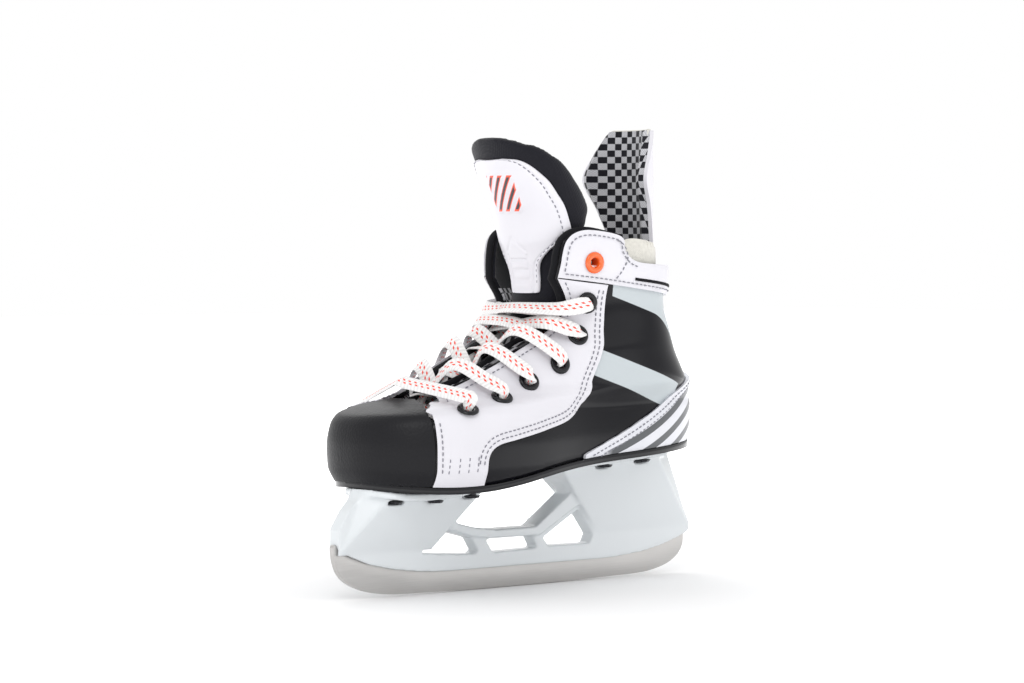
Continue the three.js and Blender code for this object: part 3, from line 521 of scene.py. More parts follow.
def sweep(
    name: str, line: np.ndarray, ups: np.ndarray, halves: np.ndarray, sides: int = 12
) -> bpy.types.Object:
    """A closed bar of rounded section along a line.

    Args:
        name: the piece's name.
        line: centre points in millimetres.
        ups: the direction of the section's thickness at each point.
        halves: half width and half thickness at each point.
        sides: points round the section.

    Returns:
        The piece, with a UV map along the line and across it in -1..1.
    """
    along = np.gradient(line, axis=0)
    along /= np.linalg.norm(along, axis=1)[:, None]
    ups = ups - (ups * along).sum(1)[:, None] * along
    ups /= np.linalg.norm(ups, axis=1)[:, None]
    across = np.cross(ups, along)
    angle = np.arange(sides) * 2 * math.pi / sides
    shape = np.c_[np.sign(np.cos(angle)) * np.abs(np.cos(angle)) ** 0.7, np.sin(angle)]
    points = (
        line[:, None]
        + across[:, None] * (shape[None, :, :1] * halves[:, None, :1])
        + ups[:, None] * (shape[None, :, 1:] * halves[:, None, 1:])
    )
    n = len(line)
    faces = [
        (r * sides + i, r * sides + (i + 1) % sides, (r + 1) * sides + (i + 1) % sides, (r + 1) * sides + i)
        for r in range(n - 1)
        for i in range(sides)
    ]
    faces += [tuple(range(sides))[::-1], tuple((n - 1) * sides + i for i in range(sides))]
    piece = mesh_piece(name, points.reshape(-1, 3), faces)
    run = np.r_[0, np.cumsum(np.linalg.norm(np.diff(line, axis=0), axis=1))]
    uv = piece.data.uv_layers.new(name="lay")
    for loop in piece.data.loops:
        ring, i = divmod(loop.vertex_index, sides)
        uv.data[loop.index].uv = (run[ring] * MM, shape[i, 0] * MM)
    smooth(piece, 60)
    return piece


# ---- the last ------------------------------------------------------------------------------------------


@dataclass
class Last:
    """The boot's form: level sections, each an egg of two superellipse halves."""

    sections: tuple = (
        (44, -86, 94, -42, 35, 2.3, 2.3),
        (53, -94, 98, -42, 40, 2.3, 2.4),
        (60, -97.2, 100.5, -40, 42.2, 2.3, 2.4),
        (70, -97.8, 103, -38, 42.5, 2.3, 2.4),
        (79, -96.4, 104.3, -35, 41.8, 2.3, 2.4),
        (84, -93, 104.3, -31, 41, 2.3, 2.4),
        (87.5, -83, 103.6, -24, 39.8, 2.3, 2.4),
        (90, -71, 102.8, -8, 39, 2.1, 2.4),
        (93.5, -64, 101, 20, 38.4, 2, 2.4),
        (98, -60, 98.5, 46, 38, 2, 2.4),
        (106, -47, 93.5, 54, 37, 2, 2.3),
        (114, -28, 89.5, 55, 36, 2, 2.2),
        (122, -13, 86.3, 56, 35, 2, 2.2),
        (137, -11, 81.5, 56, 33.4, 2.1, 2.2),
        (148, -14, 81.8, 56, 33.6, 2.5, 2.2),
        (158, -15, 83, 56, 34, 2.6, 2.2),
        (176, -15, 83.5, 56, 34, 2.6, 2.2),
    )
    waist: tuple = (0.17, 22.0, 36.0)
    toe_bend: float = 3.2
    rise_share: float = 0.6
    table: np.ndarray = field(init=False)
    slopes: np.ndarray = field(init=False)

    def __post_init__(self) -> None:
        """Work out the slopes of the smooth lines through the sections."""
        self.table = np.array(self.sections, float)
        z, v = self.table[:, 0], self.table[:, 1:]
        h = np.diff(z)[:, None]
        d = np.diff(v, axis=0) / h
        m = np.zeros_like(v)
        m[0], m[-1] = d[0], d[-1]
        w1, w2 = 2 * h[1:] + h[:-1], h[1:] + 2 * h[:-1]
        same = d[:-1] * d[1:] > 0
        with np.errstate(divide="ignore", invalid="ignore"):
            mean = (w1 + w2) / (w1 / d[:-1] + w2 / d[1:])
        m[1:-1] = np.where(same, mean, 0)
        self.slopes = m

    def section(self, z: np.ndarray) -> np.ndarray:
        """Toe end, heel end, widest, half width and the two powers at heights z."""
        zs = self.table[:, 0]
        k = np.clip(np.searchsorted(zs, z) - 1, 0, len(zs) - 2)
        h = zs[k + 1] - zs[k]
        t = ((np.clip(z, zs[0], zs[-1]) - zs[k]) / h)[..., None]
        h = h[..., None]
        a, b = self.table[k, 1:], self.table[k + 1, 1:]
        return (
            (2 * t**3 - 3 * t**2 + 1) * a + (t**3 - 2 * t**2 + t) * h * self.slopes[k]
            + (3 * t**2 - 2 * t**3) * b + (t**3 - t**2) * h * self.slopes[k + 1]
        )

    def share(self, x: np.ndarray, z: np.ndarray, offset: float) -> np.ndarray:
        """How far round from toe (0) to heel (1) a side-view place lies."""
        toe, heel, wide, _, front, back = np.moveaxis(self.section(z - offset * self.rise_share), -1, 0)
        ahead = np.clip((wide - x) / (wide - toe + offset), 0, 1) ** (front / 2)
        behind = np.clip((x - wide) / (heel - wide + offset), 0, 1) ** (back / 2)
        return np.arccos(np.where(x < wide, ahead, -behind)) / math.pi

    def point(self, s: np.ndarray, z: np.ndarray, offset: np.ndarray | float) -> np.ndarray:
        """Points of the skin: s runs 0 toe, 1 heel on the lateral side, and below 0 or above 1 medially."""
        s, z = np.broadcast_arrays(np.asarray(s, float), np.asarray(z, float))
        offset = np.broadcast_to(offset, s.shape)
        f = np.abs(s)
        medial = (s < 0) | (s > 1)
        f = np.where(f > 1, 2 - f, f)
        toe, heel, wide, half, front, back = np.moveaxis(self.section(z - offset * self.rise_share), -1, 0)
        c = np.cos(math.pi * f)
        power = np.where(c > 0, front, back)
        reach = np.where(c > 0, wide - toe, heel - wide) + offset
        x = wide - np.sign(c) * reach * np.abs(c) ** (2 / power)
        depth, middle, spread = self.waist
        pinch = 1 - depth * np.exp(-(((x - middle) / spread) ** 2)) * np.clip((116 - z) / 30, 0, 1)
        bend = self.toe_bend * (np.maximum(0, -30 - x) / 60) ** 2
        across = (half + offset) * np.abs(np.sin(math.pi * f)) ** (2 / power) * pinch
        y = across * np.where(medial, 1, -1) + bend
        return np.stack([x, y, z], -1)

    def at(self, x: float, z: float, side: int, offset: float = 0.0) -> np.ndarray:
        """The skin's point at a side-view place."""
        f = float(self.share(np.array(x), np.array(z), offset))
        return self.point(np.array(f if side < 0 else -f), np.array(z), offset)

    def normal(self, x: float, z: float, side: int, step: float = 4.0) -> np.ndarray:
        """The skin's outward direction at a side-view place."""
        a = self.at(x + step, z, side) - self.at(x - step, z, side)
        b = self.at(x, z + step, side) - self.at(x, z - step, side)
        n = np.cross(a, b) * -side
        return n / np.linalg.norm(n)


LAST = Last()
SOLE_LINE = rounded_line(
    [(-108, 54.4), (-90, 50.6), (-70, 49.2), (-50, 49.8), (-30, 52.3), (-5, 56.6), (20, 59.4), (50, 61.6),
     (85, 63.8), (112, 65.3)], 2.0)


def sole_at(x: np.ndarray | float) -> np.ndarray:
    """Height of the outsole's underside."""
    return np.interp(x, SOLE_LINE[:, 0], SOLE_LINE[:, 1])


SEAT = 3.3
THROAT = (
    (-64, 91.2), (-59, 95), (-50, 98.6), (-35, 105.6), (-17, 114), (0, 122.6), (7.5, 130), (9.5, 138),
    (3.5, 148),
)
COLLAR_TOP = (
    (3.5, 148), (4.4, 155), (5, 160), (7, 166), (12, 170), (21, 171), (37.5, 168), (40.5, 161), (47, 156.2),
    (64, 154.6), (96, 154),
)
COLLAR_SEAM = ((3.5, 148), (30, 145), (69, 140), (96, 137))
FACING_REAR = (
    (30.5, 144.8), (26, 116), (19, 100), (12, 88.5), (3, 81.5), (-14, 77.4), (-34, 73.7), (-44, 71.9),
    (-49, 69.4), (-51.3, 65.5), (-52, 58),
)
HEEL_TOP = ((108, 106), (98, 102), (66, 86), (39, 73.5), (15, 64))
CAP_EDGE = -76.5
CAP_PROUD = 1.4
CAP_TOP = 92.2
CAP_SHOULDER = 86.0
# The cap's rear edge over the instep, across (Y) and along (X).
CAP_REAR = (
    (-60, -76.5), (-30, -76.5), (-22, -72.5), (-12, -67.5), (0, -66), (14, -67.5), (26, -72.5), (34, -76.5),
    (60, -76.5),
)
# The facings, collars and heel wrap stand this far out of the form, and are this thick.
FACE_LIFT = 2.0
FACE_WALL = 1.7
RUNNER_HALF = 1.5
# Corners round the section of the CAD lace.
TUBE_SIDES = 6
EYELET_ROW = (
    (-58.5, 86), (-36, 91), (-17, 98.8), (1.5, 107.2), (14.5, 120.3), (20, 136.5),
)
COLLAR_EYELET = (21.5, 155.6)
MEDIAL_SHIFT = (3.0, -2.5)


def seat_line(x0: float, x1: float) -> np.ndarray:
    """The upper's lower edge on the outsole from x0 to x1."""
    x = np.linspace(x0, x1, max(3, int(abs(x1 - x0) / 2)))
    return np.c_[x, sole_at(x) + SEAT]


def eyelet_spots(side: int) -> list[tuple[float, float]]:
    """Side-view places of a side's lace eyelets, then its collar eyelet."""
    dx, dz = MEDIAL_SHIFT if side > 0 else (0.0, 0.0)
    return [(x + dx, z + dz) for x, z in EYELET_ROW] + [COLLAR_EYELET]


# ---- panels --------------------------------------------------------------------------------------------

# Flat width of half a turn round the form, and heights on the form against flat cutting heights.
ROUND = 250.0
WARP = ((40, 82, 98, 110, 122, 180), (0, 42, 92, 112, 126, 184))


@dataclass
class Panel:
    """A leather or cloth panel cut to a side-view outline and lasted over the form."""

    name: str
    outline: np.ndarray
    side: int
    outer: float
    wall: float
    seams: tuple = ()
    holes: float = 0.0
    pitch: float = 1.7
    turn: float = 0.55
    puff: float = 0.0

    def flat(self, xz: np.ndarray) -> np.ndarray:
        """Side-view places as flat cutting places: way round, and height warped by the instep's slope."""
        f = LAST.share(xz[:, 0], xz[:, 1], self.outer)
        return np.c_[f * ROUND, self.warp(xz[:, 1])]

    def warp(self, z: np.ndarray) -> np.ndarray:
        """Height stretched where the skin runs nearly level."""
        return np.interp(z, *WARP)

    def unwarp(self, w: np.ndarray) -> np.ndarray:
        """Undo warp."""
        return np.interp(w, *WARP[::-1])

    def lasted(self, flat: np.ndarray, lift: np.ndarray | float) -> np.ndarray:
        """Flat cutting places as points on the form."""
        s = flat[:, 0] / ROUND
        way = s if self.side < 0 else np.where(s <= 0, 0, -s)
        return LAST.point(way, self.unwarp(flat[:, 1]), self.outer + lift)

    def build(self) -> bpy.types.Object:
        """Cut, last and thicken the panel.

        Returns:
            The piece, with a UV map that follows it.
        """
        loop = self.flat(self.outline)
        loop = loop[np.linalg.norm(loop - np.roll(loop, 1, axis=0), axis=1) > 0.25]
        rings = []
        if self.holes:
            for x, z in eyelet_spots(self.side):
                turn = np.arange(14)[:, None] * 2 * math.pi / 14
                normal = LAST.normal(x, z, self.side)
                first = np.cross(normal, [0, 0, 1.0])
                first /= np.linalg.norm(first)
                second = np.cross(normal, first)
                centre = LAST.at(x, z, self.side) + normal * self.outer
                c = centre + self.holes * (first * np.cos(turn) + second * np.sin(turn))
                ring = self.flat(c[:, [0, 2]])
                if inside(ring, loop).all():
                    rings.append(ring)
        low, high = loop.min(0), loop.max(0)
        steps = [np.arange(low[k], high[k], self.pitch) for k in (0, 1)]
        grid = np.stack(np.meshgrid(*steps), -1).reshape(-1, 2)
        grid[:, 0] += (np.arange(len(grid)) % 2) * 0.01
        grid = grid[inside(grid, loop)]
        edge_all = np.vstack([loop, *rings])
        grid = grid[away(grid, edge_all) > self.pitch * 0.55]
        for ring in rings:
            grid = grid[~inside(grid, ring)]
        points = np.vstack([loop, *rings, grid])
        edges, start = [], 0
        for ring in [loop, *rings]:
            n = len(ring)
            edges += [(start + i, start + (i + 1) % n) for i in range(n)]
            start += n
        verts, _, tris, _, _, _ = delaunay_2d_cdt([Vector(p) for p in points], edges, [], 0, 1e-6)
        flat = np.array([tuple(v) for v in verts])
        tris = np.array([t for t in tris if len(t) == 3])
        middle = flat[tris].mean(1)
        good = inside(middle, loop)
        for ring in rings:
            good &= ~inside(middle, ring)
        tris = tris[good]
        base = self.lasted(flat, 0.0)
        rim = self.lasted(loop, 0.0)
        distance = away(base, rim)
        lift = -self.turn * np.clip(1 - distance / 1.6, 0, 1) ** 2
        if self.puff:
            lift += self.puff * (1 - np.exp(-distance / 6.0))
        for seam in self.seams:
            on = self.lasted(self.flat(seam), 0.0)
            lift -= 0.35 * np.exp(-((away(base, on) / 0.9) ** 2))
        top = self.lasted(flat, lift)
        a, b, c = (top[tris[:, k]] for k in range(3))
        normals = np.cross(b - a, c - a)
        centre = top.mean(0)
        hub = np.array([centre[0], 0.0, centre[2]])
        if (normals * ((a + b + c) / 3 - hub)).sum() < 0:
            tris = tris[:, ::-1]
        piece = mesh_piece(self.name, top, tris)
        uv = piece.data.uv_layers.new(name="lay")
        for corner in piece.data.loops:
            uv.data[corner.index].uv = tuple(flat[corner.vertex_index] * MM)
        smooth(piece, 50)
        finish_with(piece, "SOLIDIFY", thickness=self.wall * MM, offset=-1.0, use_even_offset=False)
        smooth(piece, 50)
        return piece


def thread_row(
    name: str, lines: Sequence[np.ndarray], outs: Sequence[np.ndarray], pitch: float = 2.7
) -> bpy.types.Object:
    """Thread stitches along lines on a surface.

    Args:
        name: the piece's name.
        lines: points of each line in millimetres.
        outs: the surface's direction at those points.
        pitch: stitch spacing.

    Returns:
        One mesh of many short threads.
    """
    points, faces = [], []
    for on, out_line in zip(lines, outs):
        run = np.r_[0, np.cumsum(np.linalg.norm(np.diff(on, axis=0), axis=1))]
        for start in np.arange(0.6, run[-1] - pitch, pitch):
            reach = (start, start + pitch * 0.66)
            ends = [np.array([np.interp(t, run, on[:, k]) for k in range(3)]) for t in reach]
            along = ends[1] - ends[0]
            along /= np.linalg.norm(along) + 1e-9
            mid = (ends[0] + ends[1]) / 2
            out = np.array([np.interp(start + pitch / 3, run, out_line[:, k]) for k in range(3)])
            out -= out.dot(along) * along
            out /= np.linalg.norm(out)
            across = np.cross(along, out)
            first = len(points)
            for t, r in ((-0.5, 0.12), (-0.32, 0.3), (0.32, 0.3), (0.5, 0.12)):
                c = mid + along * t * pitch * 0.66 - out * (0.18 if abs(t) > 0.4 else 0.0)
                for k in range(5):
                    a = k * 2 * math.pi / 5
                    points.append(c + across * r * math.cos(a) + out * r * 0.85 * math.sin(a))
            for ring in range(3):
                for k in range(5):
                    i, j = first + ring * 5 + k, first + ring * 5 + (k + 1) % 5
                    faces.append((i, i + 5, j + 5, j))
            faces.append([first + k for k in range(5)])
            faces.append([first + 15 + k for k in range(5)][::-1])
    piece = mesh_piece(name, np.array(points), faces)
    outward(piece)
    smooth(piece, 70)
    return piece


def stitches(name: str, lines: Sequence[np.ndarray], side: int, lift: float) -> bpy.types.Object:
    """Thread stitches along side-view lines on the form.

    Args:
        name: the piece's name.
        lines: side-view lines.
        side: which side of the boot.
        lift: height above the form's skin.

    Returns:
        The stitches as one mesh.
    """
    rows, outs = [], []
    for line in lines:
        f = LAST.share(line[:, 0], line[:, 1], lift)
        on = LAST.point(f if side < 0 else -f, line[:, 1], lift)
        rows.append(on)
        outs.append(on - np.c_[on[:, 0] + 10, np.zeros(len(on)), on[:, 2] - 25])
    return thread_row(name, rows, outs)


def inset_line(line: np.ndarray, by: float, ends: float = 2.0) -> np.ndarray:
    """A side-view line moved to its left by a distance and trimmed at both ends."""
    along = np.gradient(line, axis=0)
    along /= np.linalg.norm(along, axis=1)[:, None] + 1e-9
    moved = line + np.c_[-along[:, 1], along[:, 0]] * by
    run = np.r_[0, np.cumsum(np.linalg.norm(np.diff(line, axis=0), axis=1))]
    return moved[(run > ends) & (run < run[-1] - ends)]


@dataclass
class Upper:
    """The stitched upper: quarters, facings, collars, heel wrap, lining and toe cap."""

    white: Shader
    patent: Shader
    heel: Shader
    check: Shader
    cream: Shader
    cap: Shader
    thread: Shader
    binding: Shader

    def build(self) -> None:
        """Make every panel of both sides."""
        self.toe_cap()
        for side in Side:
            self.half(side)
        self.heel_wrap()

    def half(self, which: Side) -> None:
        """Make one side's panels."""
        side, tag = which.value, which.name.lower()
        throat = rounded_line(THROAT)
        top = rounded_line(COLLAR_TOP)
        rear = rounded_line(FACING_REAR)
        seam = rounded_line(COLLAR_SEAM)
        back = np.array([(104.5, 154), (107, 137), (107, 80)])
        rise = straight_line(back[::-1], 2.0)
        shell = np.vstack([seat_line(CAP_EDGE, 107), rise, top[::-1], throat[5:][::-1],
                           straight_line([(-62, 89), (CAP_EDGE, 82), (CAP_EDGE, 56)])])
        quarter = Panel(f"quarter_{tag}", shell, side, 0.0, 1.9, holes=3.2, pitch=2.2).build()
        wear(quarter, self.patent)
        place(quarter, "boot", "quarter", [f"quarter_{tag}"])

        inner = np.vstack([seat_line(-60, 107), rise, top[::-1], throat[7:][::-1],
                           straight_line([(-57, 86), (-60, 78), (-60, 56)])])
        lining = Panel(f"boot_lining_{tag}", inner, side, -2.4, 2.6, holes=3.2, pitch=2.6).build()
        wear(lining, self.check)
        place(lining, "boot", "liner", [f"liner_{tag}"])

        front = straight_line([(CAP_EDGE + 0.6, 86.0), (CAP_EDGE + 0.6, 53.0)])
        foot = seat_line(CAP_EDGE + 0.6, -52)
        shoulder = straight_line([(-66.5, 91.2), (-70, 90.3), (CAP_EDGE + 0.6, 88.0)])
        facing = np.vstack([foot, rear[::-1], throat[::-1], shoulder, front])
        rows = [inset_line(rear, -2.2), inset_line(rear, -4.6), inset_line(throat, -2.2),
                inset_line(straight_line([(CAP_EDGE + 0.6, 84), (CAP_EDGE + 0.6, 55)]), 2.2, 1.0)]
        columns = (-71.0, -66.5, -62.0, -57.5)
        rows += [straight_line([(x, 58.0 + (x + 72) * 0.05), (x + 0.8, 69.0)]) for x in columns]
        piece = Panel(f"facing_{tag}", facing, side, FACE_LIFT, FACE_WALL, seams=tuple(rows[:4]), holes=3.2,
                      pitch=1.6).build()
        wear(piece, self.white)
        place(piece, "boot", "facing", [f"facing_{tag}"])
        row = stitches(f"facing_stitches_{tag}", rows, side, FACE_LIFT)
        wear(row, self.thread)
        place(row, "boot", "facing")

        collar = np.vstack([seam + [0, 0.4], straight_line([(107, 137.4), (104.5, 154)]), top[::-1]])
        drop = rounded_line([(34, 147.5), (38, 152), (41, 158), (38.5, 164), (33, 167.2)])
        lines = [inset_line(top[: int(len(top) * 0.62)], -2.4), inset_line(seam, 2.4), drop]
        piece = Panel(f"collar_{tag}", collar, side, FACE_LIFT, FACE_WALL, seams=tuple(lines), holes=3.2,
                      pitch=1.6, puff=0.5).build()
        wear(piece, self.white)
        place(piece, "boot", "facing", [f"collar_{tag}"])
        row = stitches(f"collar_stitches_{tag}", lines, side, FACE_LIFT + 0.4)
        wear(row, self.thread)
        place(row, "boot", "facing")

        stripe = rounded_line([(46, 147.6), (60, 146), (75, 144.2), (88, 142.8)])
        f = LAST.share(stripe[:, 0], stripe[:, 1], 2.5)
        on = LAST.point(f if side < 0 else -f, stripe[:, 1], 2.5)
        bar = sweep(f"collar_pinstripe_{tag}", on, np.tile([0.3, float(side), 0.1], (len(on), 1)),
                    np.tile([0.75, 0.35], (len(on), 1)))
        wear(bar, self.binding)
        place(bar, "boot", "facing")

        crown = rounded_line(
            [(72, 157), (69, 164), (60, 166.5), (46, 166.5), (40, 158), (37, 146), (30, 124)], 2.0)
        pad = np.vstack([straight_line([(30, 124), (70, 120), (72, 157)], 2.0), crown[:-1]])
        piece = Panel(f"ankle_pad_{tag}", pad, side, -4.9, 3.6, pitch=2.4, turn=1.4, puff=0.8).build()
        wear(piece, self.cream)
        place(piece, "boot", "collar_pad", [f"ankle_pad_{tag}"])
        self.bead(f"throat_binding_{tag}", np.vstack([throat, rounded_line(COLLAR_TOP[:7])[1:]]), side)

    def bead(self, name: str, line: np.ndarray, side: int) -> None:
        """A rolled binding along the throat's edge."""
        f = LAST.share(line[:, 0], line[:, 1], -2.6)
        on = LAST.point(f if side < 0 else -f, line[:, 1], -2.6)
        up = np.tile([0.0, float(side), 0.3], (len(on), 1))
        piece = sweep(name, on, up, np.tile([1.5, 2.0], (len(on), 1)))
        wear(piece, self.binding)
        place(piece, "boot", "liner")

    def toe_cap(self) -> None:
        """The moulded toe cap, one shell across both sides."""
        ways_round = np.linspace(-1, 1, 121)
        heights = 46 + (CAP_TOP - 46) * (1 - (1 - np.linspace(0, 1, 44)) ** 1.7)
        grid = []
        for z in heights:
            if z < CAP_SHOULDER:
                reach = dict.fromkeys((-1, 1), float(LAST.share(np.array(CAP_EDGE), np.array(z), CAP_PROUD)))
            else:
                reach = {side: self.cap_reach(z, side) for side in (-1, 1)}
            for s in ways_round:
                way = np.array(-s * reach[1 if s > 0 else -1])
                place_on = LAST.point(way, np.array(z), CAP_PROUD)
                low = float(sole_at(place_on[0])) + SEAT
                grid.append(place_on if z >= low else LAST.point(way, np.array(low), CAP_PROUD))
        n = len(ways_round)
        faces = [
            (r * n + i, r * n + i + 1, (r + 1) * n + i + 1, (r + 1) * n + i)
            for r in range(len(heights) - 1)
            for i in range(n - 1)
        ]
        piece = mesh_piece("toe_cap", np.array(grid), faces)
        activate(piece)
        bpy.ops.object.mode_set(mode="EDIT")
        bpy.ops.mesh.select_all(action="SELECT")
        bpy.ops.mesh.remove_doubles(threshold=0.00025)
        bpy.ops.mesh.dissolve_degenerate(threshold=0.0001)
        bpy.ops.mesh.normals_make_consistent(inside=False)
        bpy.ops.object.mode_set(mode="OBJECT")
        total = sum(p.normal.dot(p.center - Vector((-0.075, 0, 0.07))) for p in piece.data.polygons)
        if total < 0:
            activate(piece)
            bpy.ops.object.mode_set(mode="EDIT")
            bpy.ops.mesh.select_all(action="SELECT")
            bpy.ops.mesh.flip_normals()
            bpy.ops.object.mode_set(mode="OBJECT")
        finish_with(piece, "SOLIDIFY", thickness=3.2 * MM, offset=-1.0)
        smooth(piece, 50)
        wear(piece, self.cap)
        place(piece, "boot", "toe_cap", ["toe_cap"])

    def cap_reach(self, z: float, side: int) -> float:
        """How far round the form the cap runs at a height near its top."""
        fs = np.linspace(0, 0.5, 60)
        p = LAST.point(fs * -side, np.full(60, z), CAP_PROUD)
        edge_y, edge_x = np.transpose(CAP_REAR)
        ahead = p[:, 0] < np.interp(p[:, 1], edge_y, edge_x)
        return float(fs[ahead].max()) if ahead.any() else 0.0

    def heel_wrap(self) -> None:
        """The heel wrap, one panel over both sides."""
        top = rounded_line(HEEL_TOP)
        halves = []
        for which in Side:
            outline = np.vstack([seat_line(15, 107), straight_line([(107, 68.5), (107, 105.5)], 2.0), top])
            halves.append(Panel(f"heel_wrap_{which.name.lower()}", outline, which.value, FACE_LIFT, FACE_WALL,
                                seams=(inset_line(top, 2.3),), pitch=1.9, turn=0.3).build())
            wear(halves[-1], self.heel)
            row = stitches(f"heel_stitches_{which.name.lower()}", [inset_line(top, 2.3), inset_line(top, 4.6)],
                           which.value, FACE_LIFT)
            wear(row, self.thread)
            place(row, "boot", "heel_wrap")
        for half in halves:
            place(half, "boot", "heel_wrap", ["heel_wrap"])


# ---- sole, holder, runner --------------------------------------------------------------------------------


@dataclass
class Bottom:
    """Outsole, footbed, blade holder, runner and their hardware."""

    nodes: dict
    sole: Shader
    bed: Shader
    board: Shader
    holder: Shader
    steel: Shader
    zinc: Shader
    dark: Shader
    rocker: tuple = (
        (-110, 24.6), (-109.4, 19.5), (-107.4, 13.6), (-103.4, 8.9), (-97, 5.4), (-88, 2.6), (-76, 1.05),
        (-60, 0.66), (-40, 0.3), (-20, 0.06), (0, 0), (20, 0.06), (40, 0.3), (60, 0.66), (80, 1.2),
        (91, 2.6), (100, 5.2), (106.4, 9.2), (109.6, 14.2), (110, 19.6),
    )
    buried: tuple = (
        (-109, 26), (-101, 22.5), (-90, 18.3), (-76, 15.3), (-60, 13.3), (-44, 12.5), (53, 12.5),
        (66, 13.1), (80, 14.5), (93, 16.9), (104, 20.1), (109, 21.6),
    )

    def plate(self, name: str, low: float, high: float, grow: float) -> bpy.types.Object:
        """A plate that follows the sole line between two heights above it."""
        f = np.linspace(0, 1, 90)
        rows = []
        for side in (1, -1):
            x = np.linspace(-98, 104, 90)
            for _ in range(12):
                z = sole_at(x) + (low + high) / 2
                x = LAST.point(f * side, z, grow)[:, 0]
            rows.append(LAST.point(f * side, sole_at(x) + (low + high) / 2, grow))
        lateral, medial = rows
        cols = np.linspace(0, 1, 9)
        top = np.array([a + (b - a) * c for a, b in zip(lateral, medial) for c in cols])
        points, n = [], len(top)
        for level in (low, high):
            layer = top.copy()
            layer[:, 2] = sole_at(top[:, 0]) + level
            points.append(layer)
        k = len(cols)
        quads = [
            (r * k + i, r * k + i + 1, (r + 1) * k + i + 1, (r + 1) * k + i)
            for r in range(89)
            for i in range(k - 1)
        ]
        faces = [tuple(v + n for v in q) for q in quads] + [q[::-1] for q in quads]
        for i in (0, k - 1):
            faces += [(r * k + i, (r + 1) * k + i, (r + 1) * k + i + n, r * k + i + n) for r in range(89)]
        piece = mesh_piece(name, np.vstack(points), faces)
        outward(piece)
        ease_edges(piece, 0.5)
        smooth(piece, 50)
        return piece

    def build(self) -> None:
        """Make or dress every piece below the upper."""
        outsole = self.plate("outsole_band", 0.0, 3.0, 2.6)
        wear(outsole, self.sole)
        place(outsole, "boot", "outsole", ["outsole"])
        bed = self.plate("footbed_felt", 7.5, 11.0, -6.2)
        wear(bed, self.bed)
        place(bed, "boot", "footbed", ["footbed"])
        self.moulded_holder()
        wear(self.nodes["insole_board"], self.board)
        self.ground_runner()
        for name, node in self.nodes.items():
            if name.startswith("rivet_"):
                wear(node, self.dark)
            if name.startswith(("runner_stud", "runner_nut")):
                wear(node, self.zinc)

    def ground_runner(self) -> None:
        """The runner with its smooth rocker and eased edges."""
        low = rounded_line(self.rocker, 2.0)
        top = np.array(self.buried, float)
        loop = np.vstack([low, top[::-1]])
        n = len(loop)
        points = np.vstack([np.c_[loop[:, 0], np.full(n, y), loop[:, 1]] for y in (-RUNNER_HALF, RUNNER_HALF)])
        faces = [tuple(range(n)), tuple(range(2 * n - 1, n - 1, -1))]
        faces += [(i, n + i, n + (i + 1) % n, (i + 1) % n) for i in range(n)]
        piece = mesh_piece("ground_runner", points, faces)
        outward(piece)
        ease_edges(piece, 0.22)
        smooth(piece, 35)
        wear(piece, self.steel)
        place(piece, "boot", "runner", ["runner"])

    def moulded_holder(self) -> None:
        """The blade holder with its moulded, rounded edges."""
        source = self.nodes["blade_holder"]
        piece = bpy.data.objects.new("holder_moulding", source.data.copy())
        bpy.context.scene.collection.objects.link(piece)
        outward(piece)
        finish_with(piece, "REMESH", mode="VOXEL", voxel_size=0.75 * MM)
        finish_with(piece, "SMOOTH", factor=0.5, iterations=5)
        smooth(piece, 60)
        wear(piece, self.holder)
        place(piece, "boot", "holder", ["blade_holder"])


# ---- eyelets --------------------------------------------------------------------------------------------


@dataclass
class Eyelets:
    """Rolled metal eyelets: black up the facings, orange in the collar flaps."""

    black: Shader
    orange: Shader
    bore: float = 2.3
    flange: float = 5.2
    seat: float = 2.3
    segments: int = 32

    def ring(self, name: str, spot: tuple[float, float], side: int) -> bpy.types.Object:
        """One eyelet at a side-view spot."""
        profile = [(self.bore, -3.4), (3.0, -3.4), (3.0, self.seat), (self.flange - 0.3, self.seat)]
        for k in range(9):
            a = math.pi * k / 8
            profile.append((3.75 + 1.45 * math.cos(a), self.seat + 0.25 + 1.15 * math.sin(a)))
        profile += [(self.bore, self.seat - 0.6)]
        centre, normal = LAST.at(*spot, side), LAST.normal(*spot, side)
        first = np.cross(normal, [0, 0, 1.0])
        first /= np.linalg.norm(first)
        second = np.cross(normal, first)
        points = []
        for k in range(self.segments):
            a = 2 * math.pi * k / self.segments
            radial = first * math.cos(a) + second * math.sin(a)
            points += [centre + radial * r + normal * h for r, h in profile]
        m = len(profile)
        turns = [(k * m, (k + 1) % self.segments * m) for k in range(self.segments)]
        faces = [(a + i, a + (i + 1) % m, b + (i + 1) % m, b + i) for a, b in turns for i in range(m)]
        piece = mesh_piece(name, np.array(points), faces)
        outward(piece)
        smooth(piece, 50)
        return piece

    def build(self) -> None:
        """Make all the eyelets."""
        for which in Side:
            tag = which.name.lower()
            for i, spot in enumerate(eyelet_spots(which.value)):
                top = i == len(EYELET_ROW)
                node = f"eyelet_top_{tag}" if top else f"eyelet_{i + 1}_{tag}"
                piece = self.ring(f"rolled_{node}", spot, which.value)
                wear(piece, self.orange if top else self.black)
                place(piece, "boot", "top_eyelet" if top else "eyelet", [node])


# ---- tongue and tendon guard -------------------------------------------------------------------------------


